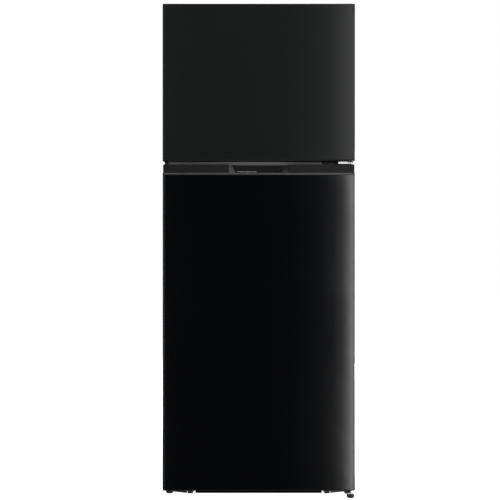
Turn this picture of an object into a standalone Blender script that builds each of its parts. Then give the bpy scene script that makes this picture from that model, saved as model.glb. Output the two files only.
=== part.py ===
"""Top freezer refrigerator, free standing, two right-hinged doors.

The cabinet is a steel wrap, foam and two moulded liners. Each door is a bent steel skin, two
plastic end caps, foam, a moulded inner panel, a magnetic gasket and its bins. Everything is in
metres, +Z up, the doors face -Y, and the origin is on the floor under the middle of the box.
"""

import math

import bmesh
import bpy
from mathutils import Matrix, Vector

# Driving dimensions
WIDTH = 0.595  # across the doors
DEPTH = 0.640  # door front to back panel
DOOR_BOTTOM = 0.024
DOOR_SPLIT = 1.037  # middle of the gap between the doors
DOOR_TOP = 1.527
DOOR_GAP = 0.012
DOOR_BODY = 0.052  # a door's thickness without its inner ridge
SEAL_SPACE = 0.010  # from a closed door's back to the cabinet's front
CABINET_HALF = 0.296
CABINET_BOTTOM = 0.034
CABINET_TOP = 1.522
SIDE_WALL = 0.050
SHEET = 0.001  # painted steel sheet
LINER = 0.0012  # moulded plastic sheet
GAP = 0.0003  # clearance between pieces that touch

# Places that follow from them
HALF = WIDTH / 2
DOOR_FRONT = -DEPTH / 2
DOOR_REAR = DOOR_FRONT + DOOR_BODY
CABINET_FRONT = DOOR_REAR + SEAL_SPACE
CABINET_BACK = DEPTH / 2
CAVITY_HALF = CABINET_HALF - SIDE_WALL
CAVITY_BACK = CABINET_BACK - 0.055
FREEZER_FLOOR = DOOR_SPLIT + 0.030
FREEZER_CEILING = CABINET_TOP - 0.060
FRIDGE_FLOOR = CABINET_BOTTOM + 0.051
FRIDGE_CEILING = DOOR_SPLIT - 0.030
LINER_FLANGE = 0.012
CORNER = 0.014  # inside corners of the liners
CROSSRAIL_HALF = 0.283  # the rail between the doors runs on over the front edges of the sides
CROSSRAIL_LOW = FRIDGE_CEILING + LINER_FLANGE + GAP
CROSSRAIL_TOP = FREEZER_FLOOR - LINER_FLANGE - GAP

# The bay for the compressor, behind a step in the fridge compartment
BAY_FRONT = 0.165
BAY_TOP = 0.237
BAY_HALF = CABINET_HALF - 0.012
STEP_FRONT = BAY_FRONT - 0.040
STEP_TOP = BAY_TOP + 0.048

# Hinge line, shared by both doors
PIN_X = HALF - 0.0165
PIN_Y = DOOR_FRONT + 0.025
PIN_RADIUS = 0.0035
BORE_RADIUS = PIN_RADIUS + 0.0007

AXES = {"X": Vector((1, 0, 0)), "Y": Vector((0, 1, 0)), "Z": Vector((0, 0, 1))}
TURN = {
    "X": Matrix.Rotation(math.radians(90), 4, "Y"),
    "Y": Matrix.Rotation(math.radians(-90), 4, "X"),
    "Z": Matrix.Identity(4),
}


# ---------------------------------------------------------------- scene and helpers


def clear_scene():
    for obj in list(bpy.data.objects):
        bpy.data.objects.remove(obj)


def new_collection(name):
    made = bpy.data.collections.new(name)
    bpy.context.scene.collection.children.link(made)
    return made


clear_scene()
PARTS = new_collection("top_freezer_refrigerator")
CUTTERS = new_collection("cutters")


def material(name, colour, roughness, metallic=0.0, alpha=1.0):
    made = bpy.data.materials.new(name)
    made.use_nodes = True
    shader = made.node_tree.nodes["Principled BSDF"]
    shader.inputs["Base Color"].default_value = (*colour, 1.0)
    shader.inputs["Roughness"].default_value = roughness
    shader.inputs["Metallic"].default_value = metallic
    shader.inputs["Alpha"].default_value = alpha
    return made


CHARCOAL_STEEL = material("charcoal_steel", (0.012, 0.013, 0.013), 0.35, 0.2)
BLACK_STEEL = material("black_steel", (0.003, 0.003, 0.004), 0.3, 0.2)
BLACK_PLASTIC = material("black_plastic", (0.010, 0.010, 0.010), 0.45)
CROSSRAIL_PAINT = material("crossrail_paint", (0.25, 0.25, 0.25), 0.4)
WHITE_ABS = material("white_abs", (0.82, 0.84, 0.84), 0.35)
WHITE_PLASTIC = material("white_plastic", (0.75, 0.77, 0.78), 0.4)
GREY_PLASTIC = material("grey_plastic", (0.35, 0.36, 0.37), 0.45)
CLEAR_PLASTIC = material("clear_plastic", (0.80, 0.86, 0.88), 0.1, 0.0, 0.4)
SHELF_GLASS = material("shelf_glass", (0.70, 0.82, 0.80), 0.05, 0.0, 0.35)
ZINC = material("zinc_plate", (0.62, 0.62, 0.60), 0.3, 1.0)
GALVANISED = material("galvanised", (0.45, 0.46, 0.47), 0.5, 1.0)
DARK_STEEL = material("dark_steel", (0.02, 0.02, 0.02), 0.35, 0.8)
FOAM = material("insulating_foam", (0.80, 0.66, 0.38), 0.9)
GASKET_RUBBER = material("gasket_rubber", (0.10, 0.10, 0.105), 0.7)
FOOT_PLASTIC = material("foot_plastic", (0.02, 0.02, 0.02), 0.55)
ALUMINIUM = material("aluminium", (0.70, 0.71, 0.72), 0.4, 1.0)
COPPER = material("copper", (0.72, 0.34, 0.20), 0.3, 1.0)


def box_mesh(low, high):
    """A bmesh box between two corners."""
    low, high = Vector(low), Vector(high)
    bm = bmesh.new()
    place = Matrix.Translation((low + high) / 2) @ Matrix.Diagonal((*(high - low), 1.0))
    bmesh.ops.create_cube(bm, size=1.0, matrix=place)
    return bm


def cylinder_mesh(centre, radius, length, axis="Z", segments=24):
    bm = bmesh.new()
    bmesh.ops.create_cone(
        bm,
        cap_ends=True,
        segments=segments,
        radius1=radius,
        radius2=radius,
        depth=length,
        matrix=Matrix.Translation(centre) @ TURN[axis],
    )
    return bm


def along(edge, axis):
    direction = (edge.verts[1].co - edge.verts[0].co).normalized()
    return abs(direction.dot(AXES[axis])) > 0.999


def round_edges(bm, radius, segments, wanted):
    edges = [e for e in bm.edges if wanted(e)]
    bmesh.ops.bevel(
        bm, geom=edges, offset=radius, segments=segments, profile=0.5, affect="EDGES"
    )
    return bm


def middle_of(edge):
    return (edge.verts[0].co + edge.verts[1].co) / 2


def drop_faces(bm, normal):
    """Removes the flat faces that look along a direction, which opens the box there."""
    normal = Vector(normal)
    bm.normal_update()
    faces = [f for f in bm.faces if f.normal.dot(normal) > 0.999]
    bmesh.ops.delete(bm, geom=faces, context="FACES")
    return bm


def add_part(name, bm, finish, origin=(0, 0, 0), parent=None, smooth=False):
    """Makes the bmesh a named object whose origin is at a world point, such as one on its axis."""
    origin = Vector(origin)
    bmesh.ops.translate(bm, verts=bm.verts, vec=-origin)
    mesh = bpy.data.meshes.new(name)
    bm.to_mesh(mesh)
    bm.free()
    mesh.materials.append(finish)
    if smooth:
        mesh.shade_smooth()
        mesh.set_sharp_from_angle(angle=math.radians(35))
    obj = bpy.data.objects.new(name, mesh)
    PARTS.objects.link(obj)
    obj.parent = parent
    obj.location = origin - (parent.location if parent else Vector())
    return obj


def helper(bm):
    """A solid that only cuts or joins: it isn't a part."""
    mesh = bpy.data.meshes.new("helper")
    bm.to_mesh(mesh)
    bm.free()
    obj = bpy.data.objects.new("helper", mesh)
    obj.hide_render = True
    obj.display_type = "WIRE"
    CUTTERS.objects.link(obj)
    return obj


def combine(obj, operation, *solids):
    for bm in solids:
        modifier = obj.modifiers.new(operation.lower(), "BOOLEAN")
        modifier.operation = operation
        modifier.solver = "EXACT"
        modifier.object = helper(bm)
    return obj


def cut(obj, *solids):
    return combine(obj, "DIFFERENCE", *solids)


def join(obj, *solids):
    return combine(obj, "UNION", *solids)


def thicken(obj, thickness, offset):
    """Gives an open surface its wall: offset 1 adds it outside the surface, -1 inside."""
    modifier = obj.modifiers.new("wall", "SOLIDIFY")
    modifier.solidify_mode = "NON_MANIFOLD"
    modifier.nonmanifold_thickness_mode = "CONSTRAINTS"
    modifier.nonmanifold_merge_threshold = 1e-5
    modifier.thickness = thickness
    modifier.offset = offset
    return obj


def tray_mesh(low, high, corner=0.006, segments=2, open_side=(0, 0, 1)):
    """A box with one side left off and its other edges rounded."""
    bm = drop_faces(box_mesh(low, high), open_side)
    return round_edges(bm, corner, segments, lambda e: not e.is_boundary)


def prism_mesh(outline, low_x, high_x):
    """A solid whose outline, a list of (y, z), runs straight along X."""
    curve = bpy.data.curves.new("outline", "CURVE")
    curve.dimensions = "2D"
    curve.fill_mode = "BOTH"
    curve.extrude = (high_x - low_x) / 2
    spline = curve.splines.new("POLY")
    spline.points.add(len(outline) - 1)
    for point, (y, z) in zip(spline.points, outline):
        point.co = (y, z, 0.0, 1.0)
    spline.use_cyclic_u = True
    guide = bpy.data.objects.new("outline", curve)
    CUTTERS.objects.link(guide)
    bpy.context.view_layer.update()
    graph = bpy.context.evaluated_depsgraph_get()
    mesh = bpy.data.meshes.new_from_object(guide.evaluated_get(graph))
    bpy.data.objects.remove(guide)
    bm = bmesh.new()
    bm.from_mesh(mesh)
    bmesh.ops.remove_doubles(bm, verts=bm.verts, dist=1e-6)
    bmesh.ops.dissolve_limit(
        bm, angle_limit=math.radians(1), verts=bm.verts, edges=bm.edges
    )
    # curve x, y, z become world y, z, x
    turn = Matrix(((0, 0, 1, 0), (1, 0, 0, 0), (0, 1, 0, 0), (0, 0, 0, 1)))
    middle = Matrix.Translation(((low_x + high_x) / 2, 0, 0))
    bmesh.ops.transform(bm, verts=bm.verts, matrix=middle @ turn)
    bmesh.ops.recalc_face_normals(bm, faces=bm.faces)
    return bm


def turned_part(name, profile, finish, origin, axis="Z", parent=None, steps=24):
    """A turned piece. Its profile is (radius, height), from the top down the outer side."""
    mesh = bpy.data.meshes.new(name)
    corners = [(radius, 0, height) for radius, height in profile]
    sides = [(i, i + 1) for i in range(len(profile) - 1)]
    mesh.from_pydata(corners, sides, [])
    mesh.materials.append(finish)
    obj = bpy.data.objects.new(name, mesh)
    PARTS.objects.link(obj)
    screw = obj.modifiers.new("turn", "SCREW")
    screw.steps = screw.render_steps = steps
    screw.use_merge_vertices = True
    screw.merge_threshold = 1e-5
    obj.parent = parent
    obj.location = Vector(origin) - (parent.location if parent else Vector())
    obj.rotation_euler = TURN[axis].to_euler()
    return obj


def smooth_path(points, steps):
    """A Catmull-Rom curve through the points."""
    points = [Vector(p) for p in points]
    ends = [2 * points[0] - points[1], *points, 2 * points[-1] - points[-2]]
    path = []
    for a, b, c, d in zip(ends, ends[1:], ends[2:], ends[3:]):
        for i in range(steps):
            t = i / steps
            path.append(
                0.5
                * (
                    2 * b
                    + (c - a) * t
                    + (2 * a - 5 * b + 4 * c - d) * t**2
                    + (3 * b - a - 3 * c + d) * t**3
                )
            )
    return [*path, points[-1]]


def pipe_part(name, path, radius, finish):
    curve = bpy.data.curves.new(name, "CURVE")
    curve.dimensions = "3D"
    curve.bevel_depth = radius
    curve.bevel_resolution = 2
    curve.use_fill_caps = True
    spline = curve.splines.new("POLY")
    spline.points.add(len(path) - 1)
    for point, place in zip(spline.points, path):
        point.co = (*place, 1.0)
    curve.materials.append(finish)
    obj = bpy.data.objects.new(name, curve)
    PARTS.objects.link(obj)
    return obj


def joint_axis(name, place):
    """An empty on a joint's axis, which a moving group is parented to."""
    obj = bpy.data.objects.new(name, None)
    obj.location = place
    PARTS.objects.link(obj)
    return obj


# ---------------------------------------------------------------- cabinet


def freezer_cavity(grow=0.0, front=CABINET_FRONT):
    bm = box_mesh(
        (-CAVITY_HALF - grow, front, FREEZER_FLOOR - grow),
        (CAVITY_HALF + grow, CAVITY_BACK + grow, FREEZER_CEILING + grow),
    )
    return round_cavity(bm, grow, front)


def fridge_cavity(grow=0.0, front=CABINET_FRONT):
    """The fridge compartment, with the step over the compressor bay at its back."""
    outline = [
        (front, FRIDGE_FLOOR - grow),
        (STEP_FRONT + grow, FRIDGE_FLOOR - grow),
        (STEP_FRONT + grow, STEP_TOP - grow),
        (CAVITY_BACK + grow, STEP_TOP - grow),
        (CAVITY_BACK + grow, FRIDGE_CEILING + grow),
        (front, FRIDGE_CEILING + grow),
    ]
    bm = prism_mesh(outline, -CAVITY_HALF - grow, CAVITY_HALF + grow)
    return round_cavity(bm, grow, front)


def round_cavity(bm, grow, front):
    def inside(edge):
        return edge.is_convex and middle_of(edge).y > front + 1e-5

    bm.normal_update()

    return round_edges(bm, CORNER + grow, 3, inside)


def add_liner(name, cavity):
    """A moulded box with an open front and a flange turned outwards round it."""
    bm = drop_faces(cavity, (0, -1, 0))
    rim = [e for e in bm.edges if e.is_boundary]
    middle = sum((middle_of(e) for e in rim), Vector()) / len(rim)
    made = bmesh.ops.extrude_edge_only(bm, edges=rim)
    for vert in [v for v in made["geom"] if isinstance(v, bmesh.types.BMVert)]:
        vert.co.x += math.copysign(LINER_FLANGE, vert.co.x - middle.x)
        vert.co.z += math.copysign(LINER_FLANGE, vert.co.z - middle.z)
    return thicken(add_part(name, bm, WHITE_ABS, smooth=True), LINER, 1)


def make_cabinet():
    shell = drop_faces(
        box_mesh(
            (-CABINET_HALF, CABINET_FRONT, CABINET_BOTTOM),
            (CABINET_HALF, CABINET_BACK - SHEET - GAP, CABINET_TOP),
        ),
        (0, 1, 0),
    )
    shell = add_part("cabinet_shell", drop_faces(shell, (0, 0, -1)), BLACK_STEEL)
    thicken(shell, SHEET, -1)
    opening = LINER_FLANGE + 0.0005
    cut(
        shell,
        box_mesh(
            (-CAVITY_HALF - opening, CABINET_FRONT - 0.01, FRIDGE_FLOOR - opening),
            (CAVITY_HALF + opening, CABINET_FRONT + 0.01, FREEZER_CEILING + opening),
        ),
        box_mesh(
            (-CROSSRAIL_HALF - GAP, CABINET_FRONT - 0.01, CROSSRAIL_LOW - GAP),
            (CROSSRAIL_HALF + GAP, CABINET_FRONT + SHEET / 2 + 0.001, CROSSRAIL_TOP + GAP),
        ),
    )

    clear = SHEET + GAP
    foam = add_part(
        "cabinet_foam",
        box_mesh(
            (-CABINET_HALF + clear, CABINET_FRONT + LINER + GAP, CABINET_BOTTOM + clear),
            (CABINET_HALF - clear, CABINET_BACK - 2 * clear, CABINET_TOP - clear),
        ),
        FOAM,
    )
    grow = LINER + GAP
    bay = box_mesh(
        (-BAY_HALF - clear, BAY_FRONT - clear, CABINET_BOTTOM - 0.01),
        (BAY_HALF + clear, CABINET_BACK + 0.01, BAY_TOP + clear),
    )
    before = CABINET_FRONT - 0.01
    cut(foam, freezer_cavity(grow, before), fridge_cavity(grow, before), bay)

    add_liner("freezer_liner", freezer_cavity())
    fridge_liner = add_liner("fridge_liner", fridge_cavity())
    ledge = 0.008
    for shelf_z in (UPPER_SHELF, LOWER_SHELF, CRISPER_COVER):
        for side in (-1, 1):
            inner, outer = sorted(
                (side * (CAVITY_HALF - ledge), side * (CAVITY_HALF + LINER / 2))
            )
            rail = box_mesh(
                (inner, SHELF_FRONT + 0.01, shelf_z - GAP - 0.006),
                (outer, SHELF_BACK - 0.02, shelf_z - GAP),
            )
            join(fridge_liner, rail)

    rail = box_mesh(
        (-CROSSRAIL_HALF, CABINET_FRONT, CROSSRAIL_LOW),
        (CROSSRAIL_HALF, CABINET_FRONT + LINER, CROSSRAIL_TOP),
    )
    add_part("crossrail", rail, CROSSRAIL_PAINT)

    back = box_mesh(
        (-CABINET_HALF, CABINET_BACK - SHEET, BAY_TOP + SHEET),
        (CABINET_HALF, CABINET_BACK, CABINET_TOP),
    )
    add_part("back_panel", back, GALVANISED)

    # One bent sheet: the floor, the wall in front of the compressor and the roof over it
    floor = CABINET_BOTTOM
    outline = [
        (CABINET_FRONT + 0.002, floor),
        (BAY_FRONT, floor),
        (BAY_FRONT, BAY_TOP),
        (CABINET_BACK - 2 * SHEET, BAY_TOP),
        (CABINET_BACK - 2 * SHEET, BAY_TOP + SHEET),
        (BAY_FRONT - SHEET, BAY_TOP + SHEET),
        (BAY_FRONT - SHEET, floor + SHEET),
        (CABINET_FRONT + 0.002, floor + SHEET),
    ]
    add_part("base_pan", prism_mesh(outline, -BAY_HALF, BAY_HALF), GALVANISED)


# ---------------------------------------------------------------- shelves, drawers and controls

SHELF_FRONT = -0.150
SHELF_BACK = CAVITY_BACK - 0.018
UPPER_SHELF = 0.765
LOWER_SHELF = 0.545
CRISPER_COVER = 0.332
FREEZER_SHELF = 1.262
GLASS = 0.004
SHELF_HALF = CAVITY_HALF - 0.002
COVER_FRONT = 0.205  # front of the evaporator cover, inside the freezer
DRAWER_FRONT = -0.145
DRAWER_BACK = STEP_FRONT - 0.010
DRAWER_WALL = 0.0025


def make_shelves():
    levels = {
        "upper_shelf": UPPER_SHELF,
        "lower_shelf": LOWER_SHELF,
        "crisper_cover": CRISPER_COVER,
    }
    for name, z in levels.items():
        plate = box_mesh(
            (-SHELF_HALF, SHELF_FRONT, z), (SHELF_HALF, SHELF_BACK, z + GLASS)
        )
        round_edges(plate, 0.004, 2, lambda e: along(e, "Z"))
        add_part(name, plate, SHELF_GLASS)
    plate = box_mesh(
        (-SHELF_HALF, -0.190, FREEZER_SHELF),
        (SHELF_HALF, COVER_FRONT - 0.004, FREEZER_SHELF + GLASS),
    )
    round_edges(plate, 0.004, 2, lambda e: along(e, "Z"))
    add_part("freezer_shelf", plate, SHELF_GLASS)


def make_crispers():
    """Two open drawers side by side, each with a finger lip along its front."""
    gap_half = 0.003
    outer = CAVITY_HALF - 0.009
    bottom = FRIDGE_FLOOR + 0.006
    top = CRISPER_COVER - 0.010
    lip = 0.016
    for name, side in (("crisper_left", -1), ("crisper_right", 1)):
        low_x, high_x = sorted((side * gap_half, side * outer))
        bm = tray_mesh(
            (low_x, DRAWER_FRONT + lip, bottom), (high_x, DRAWER_BACK, top), 0.012, 3
        )
        drawer = add_part(name, bm, CLEAR_PLASTIC, smooth=True)
        thicken(drawer, DRAWER_WALL, -1)
        handle = box_mesh(
            (low_x + 0.015, DRAWER_FRONT, top - 0.005),
            (high_x - 0.015, DRAWER_FRONT + lip + DRAWER_WALL / 2, top - 0.001),
        )
        join(drawer, handle)


HOUSING_FRONT = -0.080
HOUSING_BACK = 0.110
HOUSING_HALF = 0.095
HOUSING_DROP = 0.038
HOUSING_DUCT_TOP = FRIDGE_CEILING - HOUSING_DROP - 0.010
DIAL_X = 0.050
DIAL_RADIUS = 0.016
LENS_X = -0.030


def make_controls():
    """The ceiling housing in the fridge, with its dial and lamp, and the slider in the freezer."""
    top = FRIDGE_CEILING - GAP
    low = top - HOUSING_DROP
    housing = tray_mesh(
        (-HOUSING_HALF, HOUSING_FRONT, low), (HOUSING_HALF, HOUSING_BACK, top), 0.006, 2
    )
    housing = add_part("control_housing", housing, WHITE_PLASTIC, smooth=True)
    thicken(housing, 0.0025, -1)
    dial_z = (low + top) / 2
    shaft_hole = cylinder_mesh((DIAL_X, HOUSING_FRONT, dial_z), 0.0045, 0.02, "Y", 16)
    lens_half = (0.045, 0.060)
    lens_y = (HOUSING_FRONT + HOUSING_BACK) / 2
    window = box_mesh(
        (LENS_X - lens_half[0], lens_y - lens_half[1], low - 0.01),
        (LENS_X + lens_half[0], lens_y + lens_half[1], low + 0.01),
    )
    cut(housing, shaft_hole, window)
    lens = tray_mesh(
        (LENS_X - lens_half[0] + GAP, lens_y - lens_half[1] + GAP, low - 0.004),
        (LENS_X + lens_half[0] - GAP, lens_y + lens_half[1] - GAP, low + 0.012),
        0.004,
        2,
    )
    thicken(add_part("lamp_lens", lens, CLEAR_PLASTIC, smooth=True), 0.0015, -1)

    # radius and distance along the shaft, the knob's face first
    dial_front, dial_back, shaft_end = 0.018, 0.0005, -0.012
    profile = [
        (0, dial_front),
        (DIAL_RADIUS - 0.002, dial_front),
        (DIAL_RADIUS, dial_front - 0.002),
        (DIAL_RADIUS, dial_back),
        (0.004, dial_back),
        (0.004, shaft_end),
        (0, shaft_end),
    ]
    place = (DIAL_X, HOUSING_FRONT, dial_z)
    dial = turned_part("thermostat_dial", profile, WHITE_PLASTIC, place)
    dial.rotation_euler = (math.radians(90), 0, 0)
    grip = box_mesh(
        (DIAL_X - 0.003, HOUSING_FRONT - dial_front - 0.006, dial_z - 0.012),
        (DIAL_X + 0.003, HOUSING_FRONT - dial_front + 0.003, dial_z + 0.012),
    )
    join(dial, grip)

    duct = tray_mesh(
        (-0.065, CAVITY_BACK - 0.016, LOWER_SHELF + 0.060),
        (0.065, CAVITY_BACK - GAP, HOUSING_DUCT_TOP),
        0.005,
        2,
        (0, 1, 0),
    )
    duct = add_part("air_duct", duct, WHITE_PLASTIC, smooth=True)
    thicken(duct, 0.002, -1)
    for vent_z in (0.66, 0.86):
        for offset in (-0.030, 0.030):
            slot = box_mesh(
                (offset - 0.020, CAVITY_BACK - 0.03, vent_z),
                (offset + 0.020, CAVITY_BACK - 0.01, vent_z + 0.008),
            )
            cut(duct, slot)


# ---------------------------------------------------------------- freezer cold side

COIL_RADIUS = 0.004
COIL_Y = CAVITY_BACK - 0.026
FAN_Z = 1.385
FAN_Y = CAVITY_BACK - 0.034
SLIDER_Z = 1.110


def make_cold_side():
    """The evaporator, its fan and the vented cover in front of them."""
    run_half, first_z, pitch, runs = 0.195, 1.095, 0.030, 7
    path = []
    for i in range(runs):
        side = 1 if i % 2 else -1
        z = first_z + i * pitch
        path.append(Vector((side * run_half, COIL_Y, z)))
        path.append(Vector((-side * run_half, COIL_Y, z)))
        if i == runs - 1:
            break
        # half a turn up to the next run
        for k in range(1, 6):
            angle = math.radians(-90 + 30 * k)
            bend = Vector((-side * math.cos(angle), 0, 1 + math.sin(angle))) * pitch / 2
            path.append(Vector((-side * run_half, COIL_Y, z)) + bend)
    pipe_part("evaporator_coil", path, COIL_RADIUS, ALUMINIUM)

    cover = tray_mesh(
        (-CAVITY_HALF + 0.006, COVER_FRONT, FREEZER_FLOOR + 0.004),
        (CAVITY_HALF - 0.006, CAVITY_BACK - CORNER - 0.001, FREEZER_CEILING - 0.004),
        0.008,
        2,
        (0, 1, 0),
    )
    cover = add_part("evaporator_cover", cover, WHITE_PLASTIC, smooth=True)
    thicken(cover, 0.002, -1)
    for i in range(-3, 4):
        half = 0.045 - 0.004 * abs(i)
        slot_z = FAN_Z + 0.012 * i
        slot = box_mesh(
            (-half, COVER_FRONT - 0.01, slot_z - 0.003),
            (half, COVER_FRONT + 0.01, slot_z + 0.003),
        )
        cut(cover, slot)
    slider_slot = box_mesh(
        (-0.034, COVER_FRONT - 0.01, SLIDER_Z - 0.0025),
        (0.034, COVER_FRONT + 0.01, SLIDER_Z + 0.0025),
    )
    cut(cover, slider_slot)

    slider = box_mesh(
        (-0.010, COVER_FRONT - 0.008, SLIDER_Z - 0.006),
        (0.010, COVER_FRONT - GAP, SLIDER_Z + 0.006),
    )
    round_edges(slider, 0.002, 2, lambda e: along(e, "Y"))
    slider = add_part("freezer_slider", slider, GREY_PLASTIC, (0, COVER_FRONT, SLIDER_Z))
    tongue = box_mesh(
        (-0.004, COVER_FRONT - 0.002, SLIDER_Z - 0.002),
        (0.004, COVER_FRONT + 0.006, SLIDER_Z + 0.002),
    )
    join(slider, tongue)

    hub_radius, hub_half = 0.014, 0.007
    hub = cylinder_mesh((0, FAN_Y, FAN_Z), hub_radius, 2 * hub_half, "Y", 20)
    fan = add_part("fan_blades", hub, GREY_PLASTIC, (0, FAN_Y, FAN_Z))
    blades, blade_reach, blade_half = 5, 0.046, 0.011
    for i in range(blades):
        blade = box_mesh((hub_radius - 0.004, -0.0009, -blade_half), (blade_reach, 0.0009, blade_half))
        pitch_turn = Matrix.Rotation(math.radians(28), 4, "X")
        spin = Matrix.Rotation(math.tau * i / blades, 4, "Y")
        place = Matrix.Translation((0, FAN_Y, FAN_Z)) @ spin @ pitch_turn
        bmesh.ops.transform(blade, matrix=place, verts=blade.verts)
        join(fan, blade)
    motor = cylinder_mesh((0, FAN_Y + 0.017, FAN_Z), 0.019, 0.018, "Y", 20)
    add_part("fan_motor", motor, GREY_PLASTIC)


# ---------------------------------------------------------------- hinges, feet and rollers

PLATE = 0.003
FOOT_RADIUS = 0.012
FOOT_HEIGHT = 0.0117
STUD_RADIUS = 0.004
RIGHT_FOOT = (0.2845, DOOR_FRONT + 0.013)
LEFT_FOOT = (-0.281, CABINET_FRONT + 0.010)
BRACKET_LOW = 0.012  # underside of the plate that carries the fridge door
BRACKET_TOP = CABINET_BOTTOM - GAP
APRON_LOW = 0.0015  # its lower edge, which rises outwards
APRON_RISE = 0.0045
APRON_END = 0.268
TONGUE_LEFT = 0.266  # the tongue reaches forward under the fridge door's pin
KICK_RAIL_LOW = 0.0012
ROLLER_RADIUS = 0.013
ROLLER_AXLE = 0.003
ROLLER_HALF = 0.0085
ROLLER_CHEEK = 0.0020
FRONT_ROLLER = (0.215, CABINET_FRONT + 0.002)
REAR_ROLLER = (0.258, CABINET_BACK - 0.034)


def roller_cheeks(side, x, y, top):
    """Two ears that hang down on both sides of a roller."""
    ears = []
    for outward in (-1, 1):
        near = side * x + outward * (ROLLER_HALF + 0.0015)
        low_x, high_x = sorted((near, near + outward * ROLLER_CHEEK))
        ears.append(box_mesh((low_x, y - 0.008, ROLLER_RADIUS - 0.006), (high_x, y + 0.008, top)))
    return ears


def roller_bore(side, x, y):
    length = 4 * (ROLLER_HALF + ROLLER_CHEEK)
    return cylinder_mesh((side * x, y, ROLLER_RADIUS), ROLLER_AXLE + GAP, length, "X", 16)


def make_hinges():
    middle = DOOR_SPLIT
    arm_left, arm_front = 0.246, PIN_Y - 0.011
    leaf_half, lip_low, lip_top = 0.0125, middle - 0.0025, middle + 0.0035
    leaf = box_mesh(
        (0.200, CABINET_FRONT - PLATE - GAP, middle - leaf_half),
        (0.290, CABINET_FRONT - GAP, middle + leaf_half),
    )
    bracket = add_part("middle_hinge_bracket", leaf, ZINC)
    arm = box_mesh(
        (arm_left, arm_front, middle - PLATE / 2),
        (0.291, CABINET_FRONT - GAP - PLATE / 2, middle + PLATE / 2),
    )
    round_edges(
        arm, 0.008, 4,
        lambda e: along(e, "Z") and middle_of(e).y < PIN_Y and middle_of(e).x > PIN_X,
    )
    lip = box_mesh(
        (arm_left, arm_front - PLATE / 2, lip_low), (PIN_X - 0.006, arm_front + PLATE / 2, lip_top)
    )
    join(bracket, arm, lip)
    cut(bracket, cylinder_mesh((PIN_X, PIN_Y, middle), PIN_RADIUS + GAP, 0.02))
    reach = 0.021
    pin = cylinder_mesh((PIN_X, PIN_Y, middle), PIN_RADIUS, 2 * reach, "Z", 20)
    add_part("middle_hinge_pin", pin, DARK_STEEL, smooth=True)

    leaf_thick, top_right = 0.0025, 0.2925
    arm_low = DOOR_TOP + 0.0012
    arm_top = arm_low + leaf_thick
    rear = box_mesh(
        (0.215, CABINET_FRONT + 0.005, CABINET_TOP + GAP),
        (top_right, CABINET_FRONT + 0.090, CABINET_TOP + GAP + leaf_thick),
    )
    bracket = add_part("top_hinge_bracket", rear, ZINC)
    riser = box_mesh(
        (0.250, CABINET_FRONT + 0.0035, CABINET_TOP + GAP),
        (top_right, CABINET_FRONT + 0.006, arm_top),
    )
    arm = box_mesh((0.262, arm_front, arm_low), (top_right, CABINET_FRONT + 0.006, arm_top))
    round_edges(arm, 0.008, 4, lambda e: along(e, "Z") and middle_of(e).y < PIN_Y)
    join(bracket, riser, arm)
    cut(bracket, cylinder_mesh((PIN_X, PIN_Y, arm_top), PIN_RADIUS + GAP, 0.02))
    pin_low, pin_top = DOOR_TOP - 0.0155, arm_top - 0.0002
    pin = cylinder_mesh(
        (PIN_X, PIN_Y, (pin_low + pin_top) / 2), PIN_RADIUS, pin_top - pin_low, "Z", 20
    )
    add_part("top_hinge_pin", pin, DARK_STEEL, smooth=True)

    cover_front = CABINET_FRONT + 0.0068
    cover = tray_mesh(
        (0.208, cover_front, CABINET_TOP + GAP),
        (0.2955, CABINET_FRONT + 0.108, CABINET_TOP + 0.019),
        0.005,
        3,
        (0, 0, -1),
    )
    cover = add_part("top_hinge_cover", cover, BLACK_PLASTIC, smooth=True)
    thicken(cover, 0.002, -1)
    notch = box_mesh(
        (0.2135, cover_front - 0.01, CABINET_TOP - 0.005),
        (0.2938, cover_front + 0.01, CABINET_TOP + 0.0035),
    )
    cut(cover, notch)


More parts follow.
